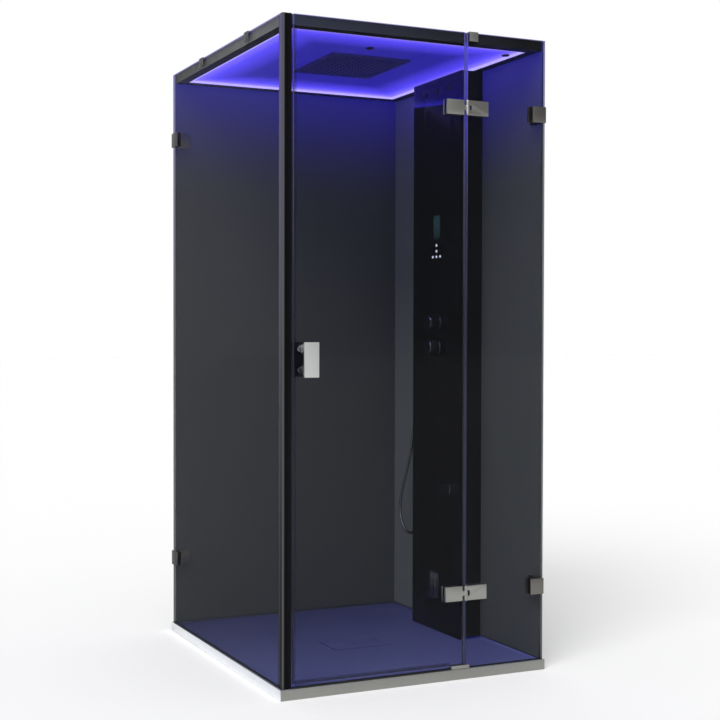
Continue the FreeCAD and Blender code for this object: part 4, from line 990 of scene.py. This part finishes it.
@dataclass
class ShowerHose:
    """Ribbed metal hose from the outlet elbow up to the hand shower, with one hanging loop."""

    route: tuple[Point, ...] = (
        (0.458, 0.232, 1.471), (0.458, 0.232, 1.380), (0.456, 0.233, 1.240), (0.452, 0.235, 1.090),
        (0.447, 0.240, 0.950), (0.442, 0.252, 0.820), (0.438, 0.272, 0.705), (0.435, 0.303, 0.605),
        (0.433, 0.338, 0.520), (0.432, 0.354, 0.444), (0.432, 0.335, 0.385), (0.433, 0.291, 0.353),
        (0.435, 0.246, 0.366), (0.437, 0.224, 0.410), (0.438, 0.219, 0.458), (0.438, 0.219, 0.508))
    diameter: float = 0.012
    rib: float = 0.0045
    groove: float = 0.0008
    sides: int = 12

    def line(self) -> list[Vector]:
        """Points along the smooth line of the route."""
        data = bpy.data.curves.new("hose_line", "CURVE")
        data.dimensions = "3D"
        spline = data.splines.new("NURBS")
        spline.points.add(len(self.route) - 1)
        for point, place in zip(spline.points, self.route):
            point.co = (*place, 1.0)
        spline.order_u = 3
        spline.use_endpoint_u = True
        spline.resolution_u = 24
        guide = bpy.data.objects.new("hose_line", data)
        mesh = bpy.data.meshes.new_from_object(guide)
        points = [vertex.co.copy() for vertex in mesh.vertices]
        bpy.data.objects.remove(guide)
        bpy.data.meshes.remove(mesh)
        return points

    def build(self) -> None:
        """Make the ribbed tube, give it its finish and hide the model's own hose."""
        points = self.line()
        bm = bmesh.new()
        self._tube(bm, points)
        hose = finish_mesh(bm, "ribbed_hose", 60.0)
        hose.data.materials.append(HOSE_METAL.material())
        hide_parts("shower_hose")
        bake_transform(hose)

    def _tube(self, bm: bmesh.types.BMesh, points: Sequence[Vector]) -> None:
        """Sweep a round section whose radius dips between the ribs."""
        rings = []
        side = Vector((1, 0, 0))
        step = self.rib / 4
        travelled, mark = 0.0, 0.0
        for start, end in zip(points, points[1:]):
            run = end - start
            while mark <= travelled + run.length:
                place = start + run * ((mark - travelled) / run.length)
                ahead = run.normalized()
                side = (side - ahead * side.dot(ahead)).normalized()
                other = ahead.cross(side)
                dip = self.groove * (0.5 - 0.5 * math.cos(2 * math.pi * mark / self.rib))
                radius = self.diameter / 2 - dip
                turns = [2 * math.pi * k / self.sides for k in range(self.sides)]
                rings.append([bm.verts.new(place + radius * (math.cos(turn) * side + math.sin(turn) * other))
                              for turn in turns])
                mark += step
            travelled += run.length
        for low, high in zip(rings, rings[1:]):
            for k in range(self.sides):
                j = (k + 1) % self.sides
                bm.faces.new((low[k], low[j], high[j], high[k]))
        bm.faces.new(list(reversed(rings[0])))
        bm.faces.new(rings[-1])


@dataclass
class Tray:
    """Low tray, its bright metal edge strips, and the waste with its flat cover."""

    rim_round: float = 0.0015
    strip_round: float = 0.0004
    cover_round: float = 0.0013

    def build(self) -> None:
        """Dress the tray and what is let into it."""
        # the tray skin and the waste cover carry painted shade and painted blue light
        fine_copy("tray", TRAY_SKIN, Body.CABIN, self.rim_round)
        aprons = fine_copy("tray_aprons", STEEL, Body.CABIN, self.strip_round)
        # painted highlight: the apron's side faces take the pale steel copy
        shade_faces(aprons, STEEL_ALONG_Y_PAINTED_LIGHT, lambda face: abs(face.normal.x) > 0.7)
        cover = fine_copy("waste_cover", TRAY_SKIN, Body.WASTE_LID, self.cover_round)
        shade_faces(cover, CHROME, lambda face: face.normal.z < 0.9)
        fine_copy("waste_body", CHROME, Body.CABIN, 0.0004)


@dataclass
class Walls:
    """The two opaque wall panels, the trim on their outer corner and the setting strips."""

    panel_round: float = 0.0006

    def build(self) -> None:
        """Dress the panels and their trims."""
        # both panels carry painted light and shade on their room side
        fine_copy("right_wall", RIGHT_WALL, Body.CABIN, self.panel_round, 1)
        fine_copy("back_wall", BACK_WALL, Body.CABIN, self.panel_round, 1)
        fine_copy("wall_corner_trim", BLACK_ALUMINIUM, Body.CABIN, 0.0004)
        # the setting strips and the post carry painted light
        fine_copy("setting_strips", RAIL_STRIP, Body.CABIN, 0.0003, 1)
        fine_copy("corner_post", POST, Body.CABIN, 0.0006)


@dataclass
class Pane:
    """One glass pane with polished, slightly rounded edges."""

    node: str
    body: Body
    across: Axis
    finish: TintedGlass = GLASS
    arris: float = 0.0008

    def build(self) -> None:
        """Copy the drilled pane, round its edges and give them their own finish."""
        bm = node_mesh(self.node)
        round_edges(bm, self.arris, 1, 60.0)
        pane = finish_mesh(bm, f"pane_{self.node}", 25.0)
        dress(pane, self.finish, self.body, [self.node])
        # the pane's edges carry painted light
        shade_faces(pane, EDGE, lambda face: abs(face.normal[self.across.value]) < 0.9)


@dataclass
class Seals:
    """Extruded seals of the door, the post and the floor line."""

    fold: float = 0.0003
    rubber: tuple[tuple[str, Body], ...] = (
        ("pane_gaskets", Body.CABIN), ("door_gaskets", Body.DOOR))
    clear: tuple[tuple[str, Body], ...] = (
        ("post_magnet_seal", Body.CABIN), ("door_magnet_seal", Body.DOOR), ("door_bottom_seal", Body.DOOR))

    def build(self) -> None:
        """Dress each strip."""
        for node, body in self.rubber:
            fine_copy(node, RUBBER, body, self.fold, 1)
        # the clear seals, the head seal and the hinge seal carry painted light
        for node, body in self.clear:
            fine_copy(node, LIP, body, self.fold, 1)
        fine_copy("door_head_seal", RAIL_STRIP, Body.CABIN, self.fold, 1)
        fine_copy("door_hinge_seal", FIN, Body.DOOR, self.fold, 1)
        fine_copy("threshold_strip", BLACK_ALUMINIUM, Body.CABIN, self.fold, 1)


@dataclass
class GlassFittings:
    """Hinges, wall clamps, roof clips and the floor foot, with the screws inside."""

    plate_round: float = 0.0008
    cap_radius: float = 0.0052
    cap_height: float = 0.0012
    socket_radius: float = 0.0024
    hinge_levels: tuple[float, float] = (0.288, 1.900)
    fixed_screws: tuple[float, float] = (0.211, 0.243)
    door_screws: tuple[float, float] = (0.117, 0.149)
    # the wall clamps take the darker steel copy, painted shade
    clamps: tuple[tuple[str, Finish], ...] = (
        ("clamp_outer_plates", STEEL_CLAMP_PAINTED_SHADE), ("clamp_inner_angles", STEEL_CLAMP_PAINTED_SHADE), ("roof_clips", STEEL))

    def build(self) -> None:
        """Dress the metal fittings and add the screw heads."""
        for node, finish in self.clamps:
            clamp = fine_copy(node, finish, Body.CABIN, self.plate_round)
            # painted shade on every left-facing face
            shade_faces(clamp, STEEL_PAINTED_SHADE, lambda face: face.normal.x < -0.5)
        fine_copy("hinge_pins", STEEL, Body.CABIN, self.plate_round)
        fine_copy("pane_foot", STEEL, Body.CABIN, self.plate_round)
        fine_copy("hinge_fixed_leaves", STEEL, Body.CABIN, self.plate_round)
        fine_copy("hinge_door_leaves", STEEL, Body.DOOR, self.plate_round)
        fine_copy("pane_bolts", CHROME, Body.CABIN, 0.0003, 1)
        fine_copy("door_bolts", CHROME, Body.DOOR, 0.0003, 1)
        self._caps("fixed_screw_caps", Body.CABIN, self.fixed_screws)
        self._caps("door_screw_caps", Body.DOOR, self.door_screws)

    def _caps(self, name: str, body: Body, columns: Sequence[float]) -> None:
        """Socket heads on the inner leaves of both hinges."""
        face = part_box("hinge_fixed_leaves")[1].y
        bm = bmesh.new()
        radius, rise, socket = self.cap_radius, self.cap_height, self.socket_radius
        for x in columns:
            for z in self.hinge_levels:
                lathe(bm, ((radius, -0.0002), (radius, rise * 0.7), (radius * 0.88, rise), (socket, rise),
                           (socket, rise * 0.2), (0, rise * 0.2)), (x, face, z), Vector((0, 1, 0)), 24)
        dress(finish_mesh(bm, name), CHROME, body)


@dataclass
class Handle:
    """Flat plate pulls on both faces of the door, on round chromed stand-offs."""

    plate_round: float = 0.0012
    post_radius: float = 0.016
    collar_bore: float = 0.0162
    collar_radius: float = 0.0175
    collar_width: float = 0.0025
    glass_faces: tuple[tuple[float, int], ...] = ((-0.494, -1), (-0.486, 1))
    between_posts: float = 1.07
    inner_plate: float = -0.46

    def build(self) -> None:
        """Dress the plates and stand-offs and add a thin collar at the glass."""
        # painted light: the pull's outer plate takes the lighter steel copy
        plates = fine_copy("handle_plates", STEEL_UPRIGHT_PAINTED_LIGHT, Body.DOOR, self.plate_round, 3)
        # painted shade: the inner plate's faces behind the glass are near black
        shade_faces(plates, HANDLE_PAINTED_SHADE, lambda face: face.center.y > self.inner_plate)
        # painted shade: the stand-offs take darkened chrome, and the lower ones darker still
        posts = fine_copy("handle_standoffs", CHROME_PAINTED_SHADE, Body.DOOR, 0.0006)
        shade_faces(posts, CHROME_DARKENED_PAINTED_SHADE, lambda face: face.center.z < self.between_posts)
        low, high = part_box("handle_standoffs")
        middle = (low.x + high.x) / 2
        bm = bmesh.new()
        bore, wide, deep = self.collar_bore, self.collar_radius, self.collar_width
        for z in (low.z + self.post_radius, high.z - self.post_radius):
            for face, way in self.glass_faces:
                lathe(bm, ((bore, 0.0), (wide, 0.0), (wide, deep * 0.6), (wide * 0.95, deep),
                           (bore, deep)), (middle, face, z), Vector((0, way, 0)), 40)
        collars = dress(finish_mesh(bm, "standoff_collars"), CHROME_PAINTED_SHADE, Body.DOOR)
        # painted shade: the lower collars darker still
        shade_faces(collars, CHROME_DARKENED_PAINTED_SHADE, lambda face: face.center.z < self.between_posts)


@dataclass
class Roof:
    """Frame rails, lit ceiling, rain head with its jets, small fittings and the cover on top."""

    jet_pitch: float = 0.0235
    jet_rows: int = 12
    jet_radius: float = 0.0026
    jet_height: float = 0.0022
    screw_radius: float = 0.0045
    screw_socket: float = 0.0018
    screw_inset: float = 0.014
    screw_places: tuple[float, ...] = (-0.36, 0.0, 0.36)

    def build(self) -> None:
        """Dress the roof's parts and add the jets and screws."""
        # the rails carry painted light and a painted reflection
        fine_copy("roof_rails", RAIL, Body.CABIN, 0.0006)
        fine_copy("ceiling_panel", CEILING, Body.CABIN, 0.0004, 1)
        fine_copy("light_strips", STRIP, Body.CABIN, 0.001)
        fine_copy("ceiling_fittings", BLACK_PLASTIC, Body.CABIN, 0.0008)
        fine_copy("roof_cover", BLACK_ALUMINIUM, Body.CABIN, 0.0004, 1)
        # the rain head's steel has the ceiling's blue light painted on it
        fine_copy("rain_head", DARK_STEEL_PAINTED_LIGHT, Body.CABIN, 0.0014, 3)
        fine_copy("rain_head_neck", BRASS, Body.CABIN, 0.0004)
        self._jets()
        self._screws()

    def _jets(self) -> None:
        """A square grid of soft jets under the rain head."""
        low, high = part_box("rain_head")
        middle = (low + high) / 2
        bm = bmesh.new()
        start = -(self.jet_rows - 1) / 2
        wide, deep = self.jet_radius, self.jet_height
        for row in range(self.jet_rows):
            for column in range(self.jet_rows):
                at = (middle.x + (start + row) * self.jet_pitch,
                      middle.y + (start + column) * self.jet_pitch, low.z)
                lathe(bm, ((wide, -0.0005), (wide, deep * 0.4), (wide * 0.6, deep), (wide * 0.3, deep),
                           (0, deep * 0.5)), at, Vector((0, 0, -1)), 10)
        dress(finish_mesh(bm, "rain_jets"), BLACK_PLASTIC, Body.CABIN)

    def _screws(self) -> None:
        """Low round screws that hold the cover's edge."""
        low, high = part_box("roof_cover")
        bm = bmesh.new()
        wide, socket, inset = self.screw_radius, self.screw_socket, self.screw_inset
        for side in range(4):
            for step in self.screw_places:
                x = step if side < 2 else (low.x + inset if side == 2 else high.x - inset)
                y = step if side >= 2 else (low.y + inset if side == 0 else high.y - inset)
                lathe(bm, ((wide, -0.0002), (wide, 0.0008), (wide * 0.7, 0.0016), (socket, 0.0017),
                           (socket, 0.0009), (0, 0.0009)), (x, y, high.z), Vector((0, 0, 1)), 18)
        dress(finish_mesh(bm, "cover_screws"), CHROME, Body.CABIN)


@dataclass
class Column:
    """Black glass column with its display, touch marks, nozzles, knobs and soap tray."""

    def build(self) -> None:
        """Dress the column and its controls."""
        # the column face carries a painted reflection of the ceiling's light in its top
        fine_copy("column_face", COLUMN_FACE, Body.CABIN, 0.0008)
        fine_copy("column_shell", COLUMN_SIDE, Body.CABIN, 0.0004, 1)
        fine_copy("display_module", DISPLAY, Body.CABIN, 0.0003)
        fine_copy("touch_keys", KEY_GLOW, Body.CABIN, 0.0002, 1)
        # the knobs and their collars, nozzles, outlet, cup and soap tray take chrome darkened to near black,
        # painted shade
        for node, body, width in (
                ("upper_nozzles", Body.CABIN, 0.0005), ("knob_collars", Body.CABIN, 0.0006),
                ("thermostat_knob", Body.THERMOSTAT, 0.0008), ("diverter_knob", Body.DIVERTER, 0.0008),
                ("steam_outlet", Body.CABIN, 0.0006), ("aroma_cup", Body.AROMA, 0.0004),
                ("soap_tray", Body.CABIN, 0.0007)):
            fine_copy(node, CHROME_DARKENED_PAINTED_SHADE, body, width)
        for node, finish in (("control_box", BLACK_PLASTIC), ("mixer_valve", BRASS), ("inlet_nipples", BRASS),
                             ("water_pipes", PIPE), ("steam_generator", PIPE), ("steam_pipe", PIPE),
                             ("power_gland", BLACK_PLASTIC)):
            fine_copy(node, finish, Body.CABIN, 0.0005, 1)


@dataclass
class HandShower:
    """Stick hand shower in its ring holder, and the outlet elbow below."""

    jets: int = 9
    first_jet: float = 0.016
    jet_pitch: float = 0.0075
    jet_turns: tuple[float, ...] = (-0.4, 0.0, 0.4)
    jet_sunk: float = 0.0004

    def build(self) -> None:
        """Dress the hand shower and add its spray face."""
        fine_copy("hand_shower_holder", CHROME, Body.CABIN, 0.0006)
        fine_copy("hose_outlet", CHROME, Body.CABIN, 0.0006)
        fine_copy("hand_shower", CHROME, Body.HANDSET, 0.0008, 3)
        low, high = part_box("hand_shower")
        middle = (low + high) / 2
        radius = (high.x - low.x) / 2 - self.jet_sunk
        bm = bmesh.new()
        for row in range(self.jets):
            level = high.z - self.first_jet - row * self.jet_pitch
            for turn in self.jet_turns:
                way = Vector((-math.cos(turn), -math.sin(turn), 0))
                at = Vector((middle.x, middle.y, level)) + way * radius
                lathe(bm, ((0.0016, 0.0), (0.0013, 0.0012), (0.0006, 0.0012), (0, 0.0006)), tuple(at), way, 8)
        dress(finish_mesh(bm, "spray_jets"), BLACK_PLASTIC, Body.HANDSET)


def main() -> None:
    """Build every sub-assembly in order; each dressed piece logs its face count."""
    logging.basicConfig(level=logging.INFO, format="%(name)s: %(message)s")
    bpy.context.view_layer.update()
    Camera().build()
    ShowerHose().build()
    Studio().build()
    Tray().build()
    Walls().build()
    for pane in (Pane("fixed_glass", Body.CABIN, Axis.Y), Pane("side_glass", Body.CABIN, Axis.X, SIDE_GLASS),
                 Pane("door_glass", Body.DOOR, Axis.Y)):
        pane.build()
    Seals().build()
    GlassFittings().build()
    Handle().build()
    Roof().build()
    Column().build()
    HandShower().build()


if __name__ == "__main__":
    main()
